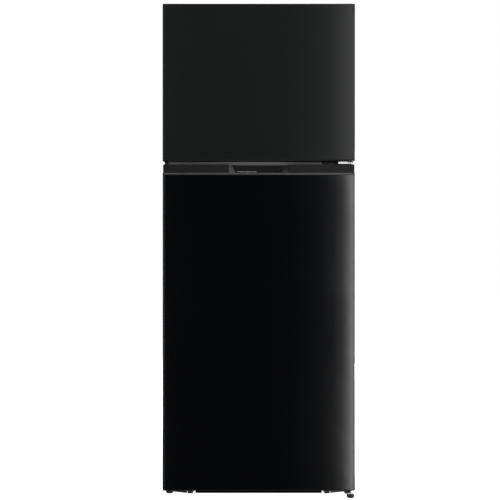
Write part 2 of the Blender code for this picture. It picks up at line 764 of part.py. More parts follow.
def make_corner_brackets():
    """The steel under each front corner, which holds a foot, a roller and the fridge door."""
    x, y = FRONT_ROLLER
    for name, side in (("left_foot_bracket", -1), ("bottom_hinge_bracket", 1)):
        low_x, high_x = sorted((side * 0.2015, side * 0.293))
        flange = box_mesh(
            (low_x, CABINET_FRONT + 0.001, BRACKET_TOP - PLATE),
            (high_x, CABINET_FRONT + 0.065, BRACKET_TOP),
        )
        bracket = add_part(name, flange, DARK_STEEL)
        low_x, high_x = sorted((side * (x + ROLLER_HALF + ROLLER_CHEEK), side * APRON_END))
        apron = box_mesh(
            (low_x, CABINET_FRONT + 0.0005, APRON_LOW),
            (high_x, CABINET_FRONT + 0.0025, BRACKET_TOP - PLATE / 2),
        )
        for vert in apron.verts:
            if abs(vert.co.x) > APRON_END - GAP and vert.co.z < APRON_LOW + GAP:
                vert.co.z += APRON_RISE
        join(bracket, *roller_cheeks(side, x, y, BRACKET_TOP - PLATE / 2), apron)
        if side > 0:
            step_y = CABINET_FRONT + 0.004
            tongue = box_mesh(
                (TONGUE_LEFT, DOOR_FRONT + 0.008, BRACKET_LOW),
                (0.293, step_y + PLATE, BRACKET_LOW + PLATE),
            )
            round_edges(tongue, 0.008, 4, lambda e: along(e, "Z") and middle_of(e).y < PIN_Y)
            riser = box_mesh(
                (0.240, step_y, BRACKET_LOW), (0.293, step_y + PLATE, BRACKET_TOP - PLATE / 2)
            )
            join(bracket, tongue, riser)
            foot_x, foot_y = RIGHT_FOOT
        else:
            foot_x, foot_y = LEFT_FOOT
        cut(
            bracket,
            roller_bore(side, x, y),
            cylinder_mesh((foot_x, foot_y, BRACKET_LOW), STUD_RADIUS + GAP, 0.05, "Z", 20),
        )

    seat = BRACKET_LOW + PLATE + GAP
    collar_radius, collar_top = 0.0048, DOOR_BOTTOM - GAP
    profile = [
        (0, DOOR_BOTTOM + 0.015),
        (PIN_RADIUS, DOOR_BOTTOM + 0.015),
        (PIN_RADIUS, collar_top),
        (collar_radius, collar_top),
        (collar_radius, seat),
        (0, seat),
    ]
    pin_profile = [(r, z - seat) for r, z in profile]
    turned_part("bottom_hinge_pin", pin_profile, ZINC, (PIN_X, PIN_Y, seat), steps=20)

    rail_half = 0.199
    rail = box_mesh(
        (-rail_half, CABINET_FRONT + 0.002, KICK_RAIL_LOW),
        (rail_half, CABINET_FRONT + 0.010, CABINET_BOTTOM - GAP),
    )
    add_part("front_kick_rail", rail, BLACK_PLASTIC)


def make_feet_and_rollers():
    stud_tops = {"front_foot_right": BRACKET_LOW + 0.0075, "front_foot_left": BRACKET_TOP - 0.0002}
    for name, (x, y) in (("front_foot_right", RIGHT_FOOT), ("front_foot_left", LEFT_FOOT)):
        profile = [
            (0, stud_tops[name]),
            (STUD_RADIUS, stud_tops[name]),
            (STUD_RADIUS, FOOT_HEIGHT),
            (FOOT_RADIUS - 0.001, FOOT_HEIGHT),
            (FOOT_RADIUS, FOOT_HEIGHT - 0.001),
            (FOOT_RADIUS, 0.003),
            (FOOT_RADIUS - 0.002, 0),
            (0, 0),
        ]
        turned_part(name, profile, FOOT_PLASTIC, (x, y, 0))

    axle_half = ROLLER_HALF + 0.0015 + ROLLER_CHEEK
    front_clearance = 0.0005  # the feet carry the front, so its rollers hang just off the floor
    for row, (x, y), radius in (
        ("front", FRONT_ROLLER, ROLLER_RADIUS - front_clearance),
        ("rear", REAR_ROLLER, ROLLER_RADIUS),
    ):
        half = [
            (0, axle_half),
            (ROLLER_AXLE, axle_half),
            (ROLLER_AXLE, ROLLER_HALF),
            (radius - 0.0015, ROLLER_HALF),
            (radius, ROLLER_HALF - 0.0015),
        ]
        profile = half + [(r, -h) for r, h in reversed(half)]
        for hand, side in (("left", -1), ("right", 1)):
            name = f"{row}_roller_{hand}"
            turned_part(name, profile, FOOT_PLASTIC, (side * x, y, ROLLER_RADIUS), "X")


# ---------------------------------------------------------------- compressor bay

BAY_PLATE = CABINET_BOTTOM + 0.0005
COMPRESSOR = (0.085, 0.238)
COMPRESSOR_FLOOR = 0.058
COMPRESSOR_HEIGHT = 0.145
CAN_RADIUS = 0.058
CAN_STRETCH = 1.35  # the can is oval, longer along X


def beside_can(dy, share):
    """How far the can's side is along X, at dy from its middle and at this share of its radius."""
    return CAN_STRETCH * math.sqrt((CAN_RADIUS * share) ** 2 - dy**2) + GAP + 0.0002


def make_compressor_bay():
    plate = box_mesh(
        (-0.283, BAY_FRONT + 0.003, BAY_PLATE), (0.283, CABINET_BACK - 0.003, BAY_PLATE + 0.002)
    )
    plate = add_part("compressor_plate", plate, GALVANISED)
    x, y = REAR_ROLLER
    for side in (-1, 1):
        join(plate, *roller_cheeks(side, x, y, BAY_PLATE + 0.001))
        cut(plate, roller_bore(side, x, y))

    # The welded can: two pressed halves with a seam, oval in plan
    r = CAN_RADIUS
    height = COMPRESSOR_HEIGHT
    profile = [
        (0, height),
        (r * 0.55, height - 0.003),
        (r * 0.85, height - 0.015),
        (r * 0.97, height - 0.036),
        (r * 0.98, height * 0.56),
        (r * 1.04, height * 0.56),
        (r * 1.04, height * 0.52),
        (r * 0.96, height * 0.52),
        (r * 0.96, 0.040),
        (r * 0.82, 0.012),
        (r * 0.50, 0.001),
        (0, 0),
    ]
    can = turned_part("compressor", profile, DARK_STEEL, (*COMPRESSOR, COMPRESSOR_FLOOR))
    can.scale = (CAN_STRETCH, 1.0, 1.0)
    cx, cy = COMPRESSOR
    base_z = BAY_PLATE + 0.002 + GAP
    feet_plate = box_mesh(
        (cx - 0.095, cy - 0.045, base_z + 0.014), (cx + 0.095, cy + 0.045, base_z + 0.017)
    )
    join(can, feet_plate)
    for dx in (-0.082, 0.082):
        for dy in (-0.033, 0.033):
            join(can, cylinder_mesh((cx + dx, cy + dy, base_z + 0.0085), 0.010, 0.017, "Z", 16))
    # the plate under the can is joined to its bottom by a short neck
    stem_z = (base_z + 0.016 + COMPRESSOR_FLOOR + 0.01) / 2
    join(can, cylinder_mesh((cx, cy, stem_z), 0.03, 0.02, "Z", 16))

    relay = box_mesh((cx - 0.128, cy - 0.030, 0.085), (cx - 0.0835, cy + 0.030, 0.150))
    round_edges(relay, 0.004, 2, lambda e: not along(e, "X"))
    relay = add_part("relay_box", relay, BLACK_PLASTIC, smooth=True)
    join(relay, cylinder_mesh((cx - 0.134, cy + 0.010, 0.100), 0.008, 0.016, "X", 16))
    cut(relay, cylinder_mesh((cx - 0.140, cy + 0.010, 0.100), 0.0042, 0.016, "X", 16))

    suction = [
        (cx + beside_can(0.000, 0.98), cy + 0.004, 0.150),
        (cx + 0.090, cy + 0.004, 0.150),
        (cx + 0.105, cy + 0.004, 0.152),
        (cx + 0.125, cy + 0.010, 0.170),
        (cx + 0.120, cy + 0.030, 0.200),
        (cx + 0.090, cy + 0.052, 0.214),
        (cx + 0.040, cy + 0.058, 0.218),
        (cx - 0.060, cy + 0.058, 0.218),
        (cx - 0.140, cy + 0.052, 0.219),
        (cx - 0.170, cy + 0.030, 0.2315),
    ]
    pipe_part("suction_pipe", smooth_path(suction, 4), 0.004, COPPER)
    discharge = [
        (cx + beside_can(0.016, 0.96), cy - 0.020, 0.115),
        (cx + 0.084, cy - 0.020, 0.115),
        (cx + 0.110, cy - 0.024, 0.113),
        (cx + 0.150, cy - 0.034, 0.118),
        (cx + 0.172, cy - 0.030, 0.150),
        (cx + 0.172, cy + 0.010, 0.190),
        (cx + 0.174, cy + 0.050, 0.215),
        (cx + 0.176, cy + 0.064, 0.2345),
    ]
    pipe_part("discharge_pipe", smooth_path(discharge, 4), 0.003, COPPER)

    tray = tray_mesh(
        (-0.240, BAY_FRONT + 0.012, 0.060), (-0.070, CABINET_BACK - 0.022, 0.112), 0.008, 2
    )
    tray = add_part("drip_tray", tray, WHITE_PLASTIC, smooth=True)
    thicken(tray, 0.002, -1)
    post_z = (BAY_PLATE + 0.002 + GAP, 0.0615)
    for px in (-0.225, -0.085):
        for py in (BAY_FRONT + 0.030, CABINET_BACK - 0.040):
            post_low = (px - 0.004, py - 0.004, post_z[0])
            post_high = (px + 0.004, py + 0.004, post_z[1])
            join(tray, box_mesh(post_low, post_high))


# ---------------------------------------------------------------- doors

SKIN = 0.0008
SKIN_CORNER = 0.006
LIP = 0.003  # the edge of an end cap that shows from the front
SKIRT = 0.018  # the part of an end cap inside the skin
HEM = 0.012  # the skin's edge, turned in behind
RIDGE_HALF = CAVITY_HALF - 0.012
RIDGE_REAR = DOOR_REAR + 0.033
RIDGE_WIDTH = 0.022  # the crest and the slope inside it
RIDGE_CREST = 0.018
CREST_ROUND = 0.005
PANEL_RECESS = DOOR_REAR + 0.006
GASKET_OUTER = PIN_X - 0.002
GASKET_WIDTH = 0.020
HANDLE_BAND = 0.0325  # height of the fridge door's top cap
BAND_RECESS = 0.0015
BEAD = 0.0065  # the rounded edge along the band's bottom
POCKET_HALF = 0.092
POCKET_LOW_HALF = 0.070
POCKET_DEPTH = 0.032
GRIP_DEPTH = 0.030  # how far fingers reach down behind the bead
BIN_WALL = 0.0022
BIN_HALF = RIDGE_HALF - RIDGE_WIDTH - 0.0015
BIN_REAR = -0.168


def front_corners(edge):
    return along(edge, "Z") and middle_of(edge).y < DOOR_FRONT + 0.004


def door_block(low_z, high_z, margin=0.0, rear=DOOR_REAR):
    """A slab of the door's outline in plan, or of that outline less a margin."""
    bm = box_mesh((-HALF + margin, DOOR_FRONT + margin, low_z), (HALF - margin, rear, high_z))
    return round_edges(bm, SKIN_CORNER - margin, 4, front_corners)


def skirt_mesh(low_z, high_z):
    return door_block(low_z, high_z, SKIN + 2 * GAP, DOOR_REAR - 0.0025)


def make_door(name, bottom, top, top_lip, finish, ridge, seal, hinge):
    """The pieces that both doors share. ridge and seal each hold a low z and a high z."""
    skin_low, skin_top = bottom + LIP + GAP, top - top_lip - GAP
    skin = box_mesh((-HALF, DOOR_FRONT, skin_low), (HALF, DOOR_REAR, skin_top))
    drop_faces(skin, (0, 0, 1))
    drop_faces(skin, (0, 0, -1))
    drop_faces(skin, (0, 1, 0))
    hem = [e for e in skin.edges if along(e, "Z") and middle_of(e).y > DOOR_REAR - 1e-5]
    made = bmesh.ops.extrude_edge_only(skin, edges=hem)
    for vert in [v for v in made["geom"] if isinstance(v, bmesh.types.BMVert)]:
        vert.co.x -= math.copysign(HEM, vert.co.x)
    round_edges(skin, SKIN_CORNER, 4, front_corners)
    skin = add_part(f"{name}_skin", skin, finish, hinge.location, hinge, smooth=True)
    thicken(skin, SKIN, -1)

    bottom_cap = add_part(
        f"{name}_bottom_cap", door_block(bottom, bottom + LIP), BLACK_PLASTIC, hinge.location, hinge
    )
    join(bottom_cap, skirt_mesh(bottom + LIP / 2, bottom + LIP + SKIRT))
    cut(bottom_cap, cylinder_mesh((PIN_X, PIN_Y, bottom), BORE_RADIUS, 0.033, "Z", 20))

    foam_low, foam_top = bottom + LIP + SKIRT + GAP, top - top_lip - SKIRT - GAP
    foam = add_part(
        f"{name}_foam",
        door_block(foam_low, foam_top, SKIN + 2 * GAP, DOOR_REAR - LINER - GAP),
        FOAM,
        hinge.location,
        hinge,
    )
    inside = LINER + GAP
    ridge_low, ridge_top = ridge
    ridge_fill = box_mesh(
        (-RIDGE_HALF + inside, DOOR_REAR - 0.010, ridge_low + inside),
        (RIDGE_HALF - inside, RIDGE_REAR - CREST_ROUND, ridge_top - inside),
    )
    hollow = RIDGE_CREST - 2 * inside
    recess = box_mesh(
        (-RIDGE_HALF + hollow, PANEL_RECESS - inside, ridge_low + hollow),
        (RIDGE_HALF - hollow, RIDGE_REAR + 0.01, ridge_top - hollow),
    )
    join(foam, ridge_fill)
    cut(foam, recess)

    make_inner_panel(name, skin_low, skin_top, ridge, hinge)

    seal_low, seal_top = seal
    gasket = add_part(
        f"{name}_gasket",
        box_mesh(
            (-GASKET_OUTER, DOOR_REAR + GAP, seal_low),
            (GASKET_OUTER, CABINET_FRONT - GAP, seal_top),
        ),
        GASKET_RUBBER,
        hinge.location,
        hinge,
    )
    inner = GASKET_OUTER - GASKET_WIDTH
    cut(
        gasket,
        box_mesh(
            (-inner, DOOR_REAR - 0.01, seal_low + GASKET_WIDTH),
            (inner, CABINET_FRONT + 0.01, seal_top - GASKET_WIDTH),
        ),
    )
    return foam


def make_inner_panel(name, low_z, high_z, ridge, hinge):
    """The moulded sheet behind a door: a flat edge for the gasket and a ridge that holds the bins."""
    bm = box_mesh((-RIDGE_HALF, DOOR_REAR, ridge[0]), (RIDGE_HALF, RIDGE_REAR, ridge[1]))
    drop_faces(bm, (0, -1, 0))
    bm.normal_update()
    rear = [f for f in bm.faces if f.normal.y > 0.999]
    for step in (RIDGE_CREST, RIDGE_WIDTH - RIDGE_CREST):
        bmesh.ops.inset_individual(bm, faces=rear, thickness=step, use_even_offset=True)
    bmesh.ops.translate(bm, verts=rear[0].verts, vec=(0, PANEL_RECESS - RIDGE_REAR, 0))
    rim = [e for e in bm.edges if e.is_boundary]
    made = bmesh.ops.extrude_edge_only(bm, edges=rim)
    edge_x = HALF - HEM - 2 * GAP
    middle_z = (low_z + high_z) / 2
    for vert in [v for v in made["geom"] if isinstance(v, bmesh.types.BMVert)]:
        vert.co.x = math.copysign(edge_x, vert.co.x)
        vert.co.z = high_z if vert.co.z > middle_z else low_z
    crest = [
        e for e in bm.edges
        if (along(e, "X") or along(e, "Z")) and middle_of(e).y > RIDGE_REAR - 1e-4
    ]
    bmesh.ops.bevel(
        bm, geom=crest, offset=CREST_ROUND, segments=2, profile=0.5, affect="EDGES"
    )
    panel = add_part(f"{name}_inner_panel", bm, WHITE_ABS, hinge.location, hinge, smooth=True)
    thicken(panel, LINER, -1)


def hull_mesh(points):
    """The smallest convex solid round some points."""
    bm = bmesh.new()
    for point in points:
        bm.verts.new(point)
    made = bmesh.ops.convex_hull(bm, input=bm.verts)
    inner = made["geom_interior"] + made["geom_unused"]
    loose = {v for v in inner if isinstance(v, bmesh.types.BMVert)}
    bmesh.ops.delete(bm, geom=list(loose), context="VERTS")
    bmesh.ops.recalc_face_normals(bm, faces=bm.faces)
    return bm


def mirrored(points):
    return [(side * x, y, z) for side in (-1, 1) for x, y, z in points]


def make_handle_cap(top, hinge):
    """The fridge door's top cap: a dark band with a scoop for the fingers and a bead under it."""
    low = top - HANDLE_BAND
    cap = add_part(
        "fridge_door_top_cap",
        door_block(low + BEAD * 0.5, top, BAND_RECESS),
        BLACK_PLASTIC,
        hinge.location,
        hinge,
        smooth=True,
    )
    bead = door_block(low, low + BEAD)
    round_edges(
        bead, 0.002, 2, lambda e: not along(e, "Z") and middle_of(e).y < DOOR_FRONT + 0.0065
    )
    grip_low = low + BEAD - GRIP_DEPTH
    cup = box_mesh(
        (-POCKET_LOW_HALF - 0.004, DOOR_FRONT + SKIN + 0.0006, grip_low - 0.003),
        (POCKET_LOW_HALF + 0.004, DOOR_FRONT + POCKET_DEPTH + 0.004, low + 0.005),
    )
    join(cap, bead, skirt_mesh(low - SKIRT, low + 0.002), cup)

    lip_y = DOOR_FRONT + 0.0065
    back_y = DOOR_FRONT + POCKET_DEPTH
    floor = low + BEAD
    above = top + 0.01
    scoop = hull_mesh(
        mirrored(
            [
                (POCKET_HALF, DOOR_FRONT - 0.01, floor),
                (POCKET_HALF, DOOR_FRONT - 0.01, above),
                (POCKET_HALF, DOOR_FRONT + BAND_RECESS, floor),
                (POCKET_HALF, DOOR_FRONT + BAND_RECESS, above),
                (POCKET_LOW_HALF, back_y, floor),
                (POCKET_HALF - 0.002, back_y, above),
            ]
        )
    )
    grip = hull_mesh(
        mirrored(
            [
                (POCKET_LOW_HALF, lip_y, floor + 0.001),
                (POCKET_LOW_HALF, back_y, floor + 0.001),
                (POCKET_LOW_HALF - 0.005, lip_y, grip_low),
                (POCKET_LOW_HALF - 0.005, back_y - 0.005, grip_low),
            ]
        )
    )
    bore = cylinder_mesh((PIN_X, PIN_Y, top), BORE_RADIUS, 0.033, "Z", 20)
    cut(cap, scoop, grip, bore)
    return cup_space(low, grip_low)


def cup_space(low, grip_low):
    """The room that the foam leaves for the cup behind the handle."""
    return box_mesh(
        (-POCKET_LOW_HALF - 0.004 - GAP, DOOR_FRONT - 0.01, grip_low - 0.003 - GAP),
        (POCKET_LOW_HALF + 0.004 + GAP, DOOR_FRONT + POCKET_DEPTH + 0.004 + GAP, low + 0.005),
    )


def add_bin(name, low_z, height, hinge):
    bm = tray_mesh(
        (-BIN_HALF, PANEL_RECESS + GAP, low_z), (BIN_HALF, BIN_REAR, low_z + height), 0.008, 2
    )
    made = add_part(name, bm, CLEAR_PLASTIC, hinge.location, hinge, smooth=True)
    thicken(made, BIN_WALL, -1)


def make_doors():
    freezer_hinge = joint_axis("freezer_door_hinge", (PIN_X, PIN_Y, DOOR_SPLIT))
    fridge_hinge = joint_axis("fridge_door_hinge", (PIN_X, PIN_Y, DOOR_BOTTOM))
    bottom, top = DOOR_SPLIT + DOOR_GAP / 2, DOOR_TOP
    make_door(
        "freezer_door",
        bottom,
        top,
        LIP,
        CHARCOAL_STEEL,
        (FREEZER_FLOOR + 0.012, FREEZER_CEILING - 0.012),
        (DOOR_SPLIT + 0.014, FREEZER_CEILING + 0.043),
        freezer_hinge,
    )
    cap = add_part(
        "freezer_door_top_cap",
        door_block(top - LIP, top),
        BLACK_PLASTIC,
        freezer_hinge.location,
        freezer_hinge,
    )
    join(cap, skirt_mesh(top - LIP - SKIRT, top - LIP / 2))
    cut(cap, cylinder_mesh((PIN_X, PIN_Y, top), BORE_RADIUS, 0.034, "Z", 20))
    for name, z in (("freezer_bin_upper", 1.290), ("freezer_bin_lower", 1.105)):
        add_bin(name, z, 0.075, freezer_hinge)

    bottom, top = DOOR_BOTTOM, DOOR_SPLIT - DOOR_GAP / 2
    foam = make_door(
        "fridge_door",
        bottom,
        top,
        HANDLE_BAND,
        BLACK_STEEL,
        (FRIDGE_FLOOR + 0.012, FRIDGE_CEILING - 0.030),
        (DOOR_BOTTOM + 0.021, DOOR_SPLIT - 0.014),
        fridge_hinge,
    )
    cut(foam, make_handle_cap(top, fridge_hinge))
    bins = (
        ("fridge_bin_upper", 0.815, 0.070),
        ("fridge_bin_middle", 0.530, 0.080),
        ("fridge_bin_lower", 0.135, 0.110),
    )
    for name, z, height in bins:
        add_bin(name, z, height, fridge_hinge)


make_cabinet()
make_shelves()
make_crispers()
make_controls()
make_cold_side()
make_hinges()
make_corner_brackets()
make_feet_and_rollers()
make_compressor_bay()
make_doors()
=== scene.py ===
"""The looks of a top freezer refrigerator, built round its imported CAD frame.

Sections follow the order in which the real one is put together: doors first, because they are what
shows, then the cabinet's outside, its hinges and feet, the compressor bay, and the two compartments.
"""

import math

import bmesh
import bpy
from mathutils import Matrix, Vector


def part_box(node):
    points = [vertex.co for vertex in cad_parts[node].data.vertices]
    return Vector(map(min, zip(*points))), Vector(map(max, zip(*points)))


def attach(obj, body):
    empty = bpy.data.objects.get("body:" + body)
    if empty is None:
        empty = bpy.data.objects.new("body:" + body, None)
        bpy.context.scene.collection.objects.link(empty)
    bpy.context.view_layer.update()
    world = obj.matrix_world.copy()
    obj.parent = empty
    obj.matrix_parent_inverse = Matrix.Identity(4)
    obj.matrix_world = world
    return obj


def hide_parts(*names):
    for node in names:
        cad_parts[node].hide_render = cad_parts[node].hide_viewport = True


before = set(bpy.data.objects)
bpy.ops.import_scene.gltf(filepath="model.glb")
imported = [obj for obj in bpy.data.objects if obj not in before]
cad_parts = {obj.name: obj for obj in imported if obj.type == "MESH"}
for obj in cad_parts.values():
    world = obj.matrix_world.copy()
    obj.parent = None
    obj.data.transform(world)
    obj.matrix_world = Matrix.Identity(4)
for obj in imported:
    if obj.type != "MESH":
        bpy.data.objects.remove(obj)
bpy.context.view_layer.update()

# ---------------------------------------------------------------- studio
# A level camera stands in front of the doors, at half their height. The floor and the backdrop are
# plain and pale. Tall soft boxes stand beside the camera and beside the cabinet, so that the dark
# doors mirror only their edges, and wide ones above and behind light the top and the back.

camera_data = bpy.data.cameras.new("camera")
camera_data.sensor_width = 36
camera_data.lens = 70
camera = bpy.data.objects.new("camera", camera_data)
camera.location = (-0.027, -3.320, 0.767)
camera.rotation_euler = (math.radians(90), 0, 0)
bpy.context.scene.collection.objects.link(camera)
bpy.context.scene.camera = camera
bpy.context.scene.view_settings.view_transform = "Standard"


def soft_box(name, place, target, width, height, watts):
    data = bpy.data.lights.new(name, "AREA")
    data.shape = "RECTANGLE"
    data.size, data.size_y = width, height
    data.energy = watts
    light = bpy.data.objects.new(name, data)
    light.location = place
    light.rotation_euler = (Vector(target) - Vector(place)).to_track_quat("-Z", "Y").to_euler()
    light.visible_camera = False
    bpy.context.scene.collection.objects.link(light)


soft_box("strip_front_right", (0.885, -3.30, 0.8), (0.885, 0.0, 0.8), 0.58, 3.6, 44)
soft_box("strip_front_left", (-1.10, -3.25, 0.8), (-0.3, -0.3, 0.8), 0.7, 3.6, 20)
soft_box("front_top", (0.0, -2.50, 3.10), (0.0, -0.3, 0.9), 2.2, 0.8, 36)
soft_box("side_right", (2.60, -0.90, 0.8), (0.3, -0.1, 0.8), 1.6, 2.6, 110)
soft_box("side_left", (-2.40, 1.30, 1.0), (-0.3, 0.1, 1.0), 1.5, 2.6, 80)
soft_box("overhead", (0.0, -0.2, 3.40), (0.0, 0.1, 1.5), 2.0, 1.6, 50)
soft_box("behind", (0.9, 3.20, 0.75), (0.0, 0.3, 0.75), 2.4, 1.4, 70)

world = bpy.data.worlds.new("studio")
bpy.context.scene.world = world
world.use_nodes = True
sky = world.node_tree
dim = sky.nodes["Background"]
dim.inputs["Color"].default_value = (0.02, 0.02, 0.02, 1)
backdrop = sky.nodes.new("ShaderNodeBackground")
backdrop.inputs["Color"].default_value = (1, 1, 1, 1)
seen = sky.nodes.new("ShaderNodeLightPath")
either = sky.nodes.new("ShaderNodeMixShader")
sky.links.new(seen.outputs["Is Camera Ray"], either.inputs["Fac"])
sky.links.new(dim.outputs["Background"], either.inputs[1])
sky.links.new(backdrop.outputs["Background"], either.inputs[2])
sky.links.new(either.outputs["Shader"], sky.nodes["World Output"].inputs["Surface"])

floor_mesh = bpy.data.meshes.new("floor")
floor_sheet = bmesh.new()
bmesh.ops.create_grid(floor_sheet, x_segments=1, y_segments=1, size=12)
floor_sheet.to_mesh(floor_mesh)
floor_paint = bpy.data.materials.new("floor")
floor_paint.use_nodes = True
floor_shader = floor_paint.node_tree.nodes["Principled BSDF"]
for socket, value in {
    "Base Color": (0.85, 0.85, 0.85, 1), "Roughness": 1, "Specular IOR Level": 0,
    "Emission Color": (1, 1, 1, 1), "Emission Strength": 1.0,
}.items():
    floor_shader.inputs[socket].default_value = value
floor_mesh.materials.append(floor_paint)
floor = bpy.data.objects.new("floor", floor_mesh)
floor.visible_diffuse = floor.visible_glossy = False
floor.visible_transmission = floor.visible_shadow = False
bpy.context.scene.collection.objects.link(floor)

# ---------------------------------------------------------------- door skins
# Each door's skin is one sheet of prepainted steel, bent round both sides and hemmed in behind. Both
# doors are one black paint. The freezer's is drawn as a lighter satin charcoal, a painted reflection
# for the brighter sheen it shows, and the fridge's as a smooth black. Both are a little wavy and have
# the fine orange peel of roller coating.

SKIN_THICKNESS = 0.0008
SKIN_BEND = 0.006
SKIN_HEM = 0.012
# the freezer door's lighter colour is painted reflection; both doors are really the same black
REFLECTION_LIT_BLACK = (0.0078, 0.0084, 0.0082)
SMOOTH_BLACK = (0.0010, 0.0012, 0.0017)


class Wire:
    """A socket in a material's nodes. Arithmetic on it adds Math nodes, and add() any other node."""

    def __init__(self, tree, socket):
        self.tree, self.socket = tree, socket

    def add(self, kind, settings={}, values={}, output=0):
        node = self.tree.nodes.new(kind)
        for name, value in settings.items():
            if name == "stops":
                while len(node.color_ramp.elements) < len(value):
                    node.color_ramp.elements.new(0.5)
                for element, (place, colour) in zip(node.color_ramp.elements, value):
                    element.position, element.color = place, (*colour, 1)
            else:
                setattr(node, name, value)
        for name, value in values.items():
            if isinstance(value, Wire):
                self.tree.links.new(value.socket, node.inputs[name])
            else:
                node.inputs[name].default_value = value
        return Wire(self.tree, node.outputs[output])

    def maths(self, operation, a, b=0.0):
        return self.add("ShaderNodeMath", {"operation": operation}, {0: a, 1: b})

    def __add__(self, other):
        return self.maths("ADD", self, other)

    def __mul__(self, other):
        return self.maths("MULTIPLY", self, other)

    def __truediv__(self, other):
        return self.maths("DIVIDE", self, other)

    __radd__, __rmul__ = __add__, __mul__


def stretched(place, x, y, z):
    values = {0: place, 1: (x, y, z)}
    return place.add("ShaderNodeVectorMath", {"operation": "MULTIPLY"}, values)


def noise(place, size, detail=2.0, roughness=0.5):
    """A noise from 0 to 1 whose spots are about size metres across."""
    values = {"Vector": place, "Scale": 0.5 / size, "Detail": detail, "Roughness": roughness}
    return place.add("ShaderNodeTexNoise", {}, values)


def between(share, low, high):
    """Numbers from low to high as share goes from 0 to 1."""
    return share * (high - low) + low


def band(share, low, high):
    """0 below low, 1 above high and a straight slope between them."""
    values = {"Value": share, "From Min": low, "From Max": high}
    return share.add("ShaderNodeMapRange", {"clamp": True}, values)


def blended(share, a, b):
    """Colour a where share is 0 and b where it is 1."""
    colours = {6: (*a, 1) if isinstance(a, tuple) else a, 7: (*b, 1) if isinstance(b, tuple) else b}
    return share.add("ShaderNodeMix", {"data_type": "RGBA"}, {0: share, **colours}, 2)


def bumped(height, distance):
    """A normal from a height of 0 to 1 that stands for distance metres."""
    return height.add("ShaderNodeBump", {}, {"Height": height, "Distance": distance})


def new_finish(name, constants, make):
    """A Principled material. make gets the Object coordinates and returns the sockets that vary."""
    finish = bpy.data.materials.new(name)
    finish.use_nodes = True
    tree = finish.node_tree
    shader = tree.nodes["Principled BSDF"]
    for socket, value in constants.items():
        shader.inputs[socket].default_value = value
    place = Wire(tree, tree.nodes.new("ShaderNodeTexCoord").outputs["Object"])
    for socket, wire in make(place).items():
        tree.links.new(wire.socket, shader.inputs[socket])
    return finish


def sheet_paint(name, colour, roughness, wave, gloss=0.5, peel=0.000012):
    """Roller-coated steel: wave is how far the sheet bows, in metres, and peel the paint's own relief."""

    def make(place):
        bows = noise(stretched(place, 1.0, 1.0, 1.6), 0.11, 1.0)
        dust = noise(place, 0.05, 4.0, 0.6)
        skin = noise(place, 0.0022, 1.0)
        shade = tuple(c * 1.12 for c in colour)
        return {
            "Base Color": blended(dust, colour, shade),
            "Roughness": between(noise(place, 0.16, 3.0), roughness - 0.02, roughness + 0.02),
            "Normal": bumped(bows * wave / peel + skin, peel),
        }

    return new_finish(name, {"Specular IOR Level": gloss}, make)


# a lighter, duller copy of the door black: painted reflection for the freezer door's brighter sheen
reflection_lit_paint = sheet_paint("reflection_lit_paint", REFLECTION_LIT_BLACK, 0.145, 0.00010, 0.15)
black_paint = sheet_paint("black_paint", SMOOTH_BLACK, 0.088, 0.00018, 0.5)


def slab(low, high):
    """A block between two opposite corners."""
    bm = bmesh.new()
    bmesh.ops.create_cube(bm, size=1)
    low, high = Vector(low), Vector(high)
    bmesh.ops.scale(bm, verts=bm.verts, vec=high - low)
    bmesh.ops.translate(bm, verts=bm.verts, vec=(low + high) / 2)
    return bm


def centre_of(edge):
    return (edge.verts[0].co + edge.verts[1].co) / 2


def runs_along(edge, axis):
    step = edge.verts[1].co - edge.verts[0].co
    return abs(step[axis]) > 0.999 * step.length


def rounded(bm, edges, radius, segments):
    bmesh.ops.bevel(
        bm, geom=list(edges), offset=radius, segments=segments, profile=0.5, affect="EDGES",
        material=-1, clamp_overlap=True,
    )
    return bm


def remove_facing(bm, *normals):
    """Takes off the faces that look along any of these directions."""
    bm.normal_update()
    gone = [f for f in bm.faces if any(f.normal.dot(Vector(n)) > 0.999 for n in normals)]
    bmesh.ops.delete(bm, geom=gone, context="FACES")
    return bm


def new_piece(name, bm, finish, body, replaced=(), sharp=35.0, wall=None):
    """Makes a piece of the mesh and puts it on its body. sharp is the angle past which an edge shows.

    wall is a sheet's thickness, which goes inside its surface.
    """
    bm.normal_update()
    for face in bm.faces:
        face.smooth = True
    for edge in bm.edges:
        edge.smooth = edge.calc_face_angle(0.0) < math.radians(sharp)
    mesh = bpy.data.meshes.new(name)
    bm.to_mesh(mesh)
    bm.free()
    mesh.materials.append(finish)
    piece = bpy.data.objects.new(name, mesh)
    bpy.context.scene.collection.objects.link(piece)
    if wall:
        sheet = piece.modifiers.new("wall", "SOLIDIFY")
        sheet.solidify_mode = "NON_MANIFOLD"
        sheet.nonmanifold_thickness_mode = "CONSTRAINTS"
        sheet.nonmanifold_merge_threshold = 1e-5
        sheet.thickness, sheet.offset = wall, -1
    even = piece.modifiers.new("normals", "WEIGHTED_NORMAL")
    even.keep_sharp = True
    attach(piece, body)
    if replaced:
        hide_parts(*replaced)
    return piece


def points_in(geometry):
    return [item for item in geometry if isinstance(item, bmesh.types.BMVert)]


for door, paint, slot in (
    ("freezer_door", reflection_lit_paint, "charcoal_steel"),
    ("fridge_door", black_paint, "black_steel"),
):
    low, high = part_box(f"{door}_skin")
    skin = remove_facing(slab(low, high), (0, 0, 1), (0, 0, -1), (0, 1, 0))
    rear = [e for e in skin.edges if runs_along(e, 2) and centre_of(e).y > high.y - 1e-4]
    hem = bmesh.ops.extrude_edge_only(skin, edges=rear)["geom"]
    for vert in points_in(hem):
        vert.co.x -= math.copysign(SKIN_HEM, vert.co.x)
    front = [e for e in skin.edges if runs_along(e, 2) and centre_of(e).y < low.y + 1e-4]
    rounded(skin, front, SKIN_BEND, 12)
    new_piece(f"{door}_sheet", skin, paint, door, [f"{door}_skin"], wall=SKIN_THICKNESS)

# ---------------------------------------------------------------- door end caps
# The open ends of each skin are closed by moulded black caps. Only a thin lip of them shows, with a
# small radius where it meets the skin, and a bored boss takes the hinge pin.

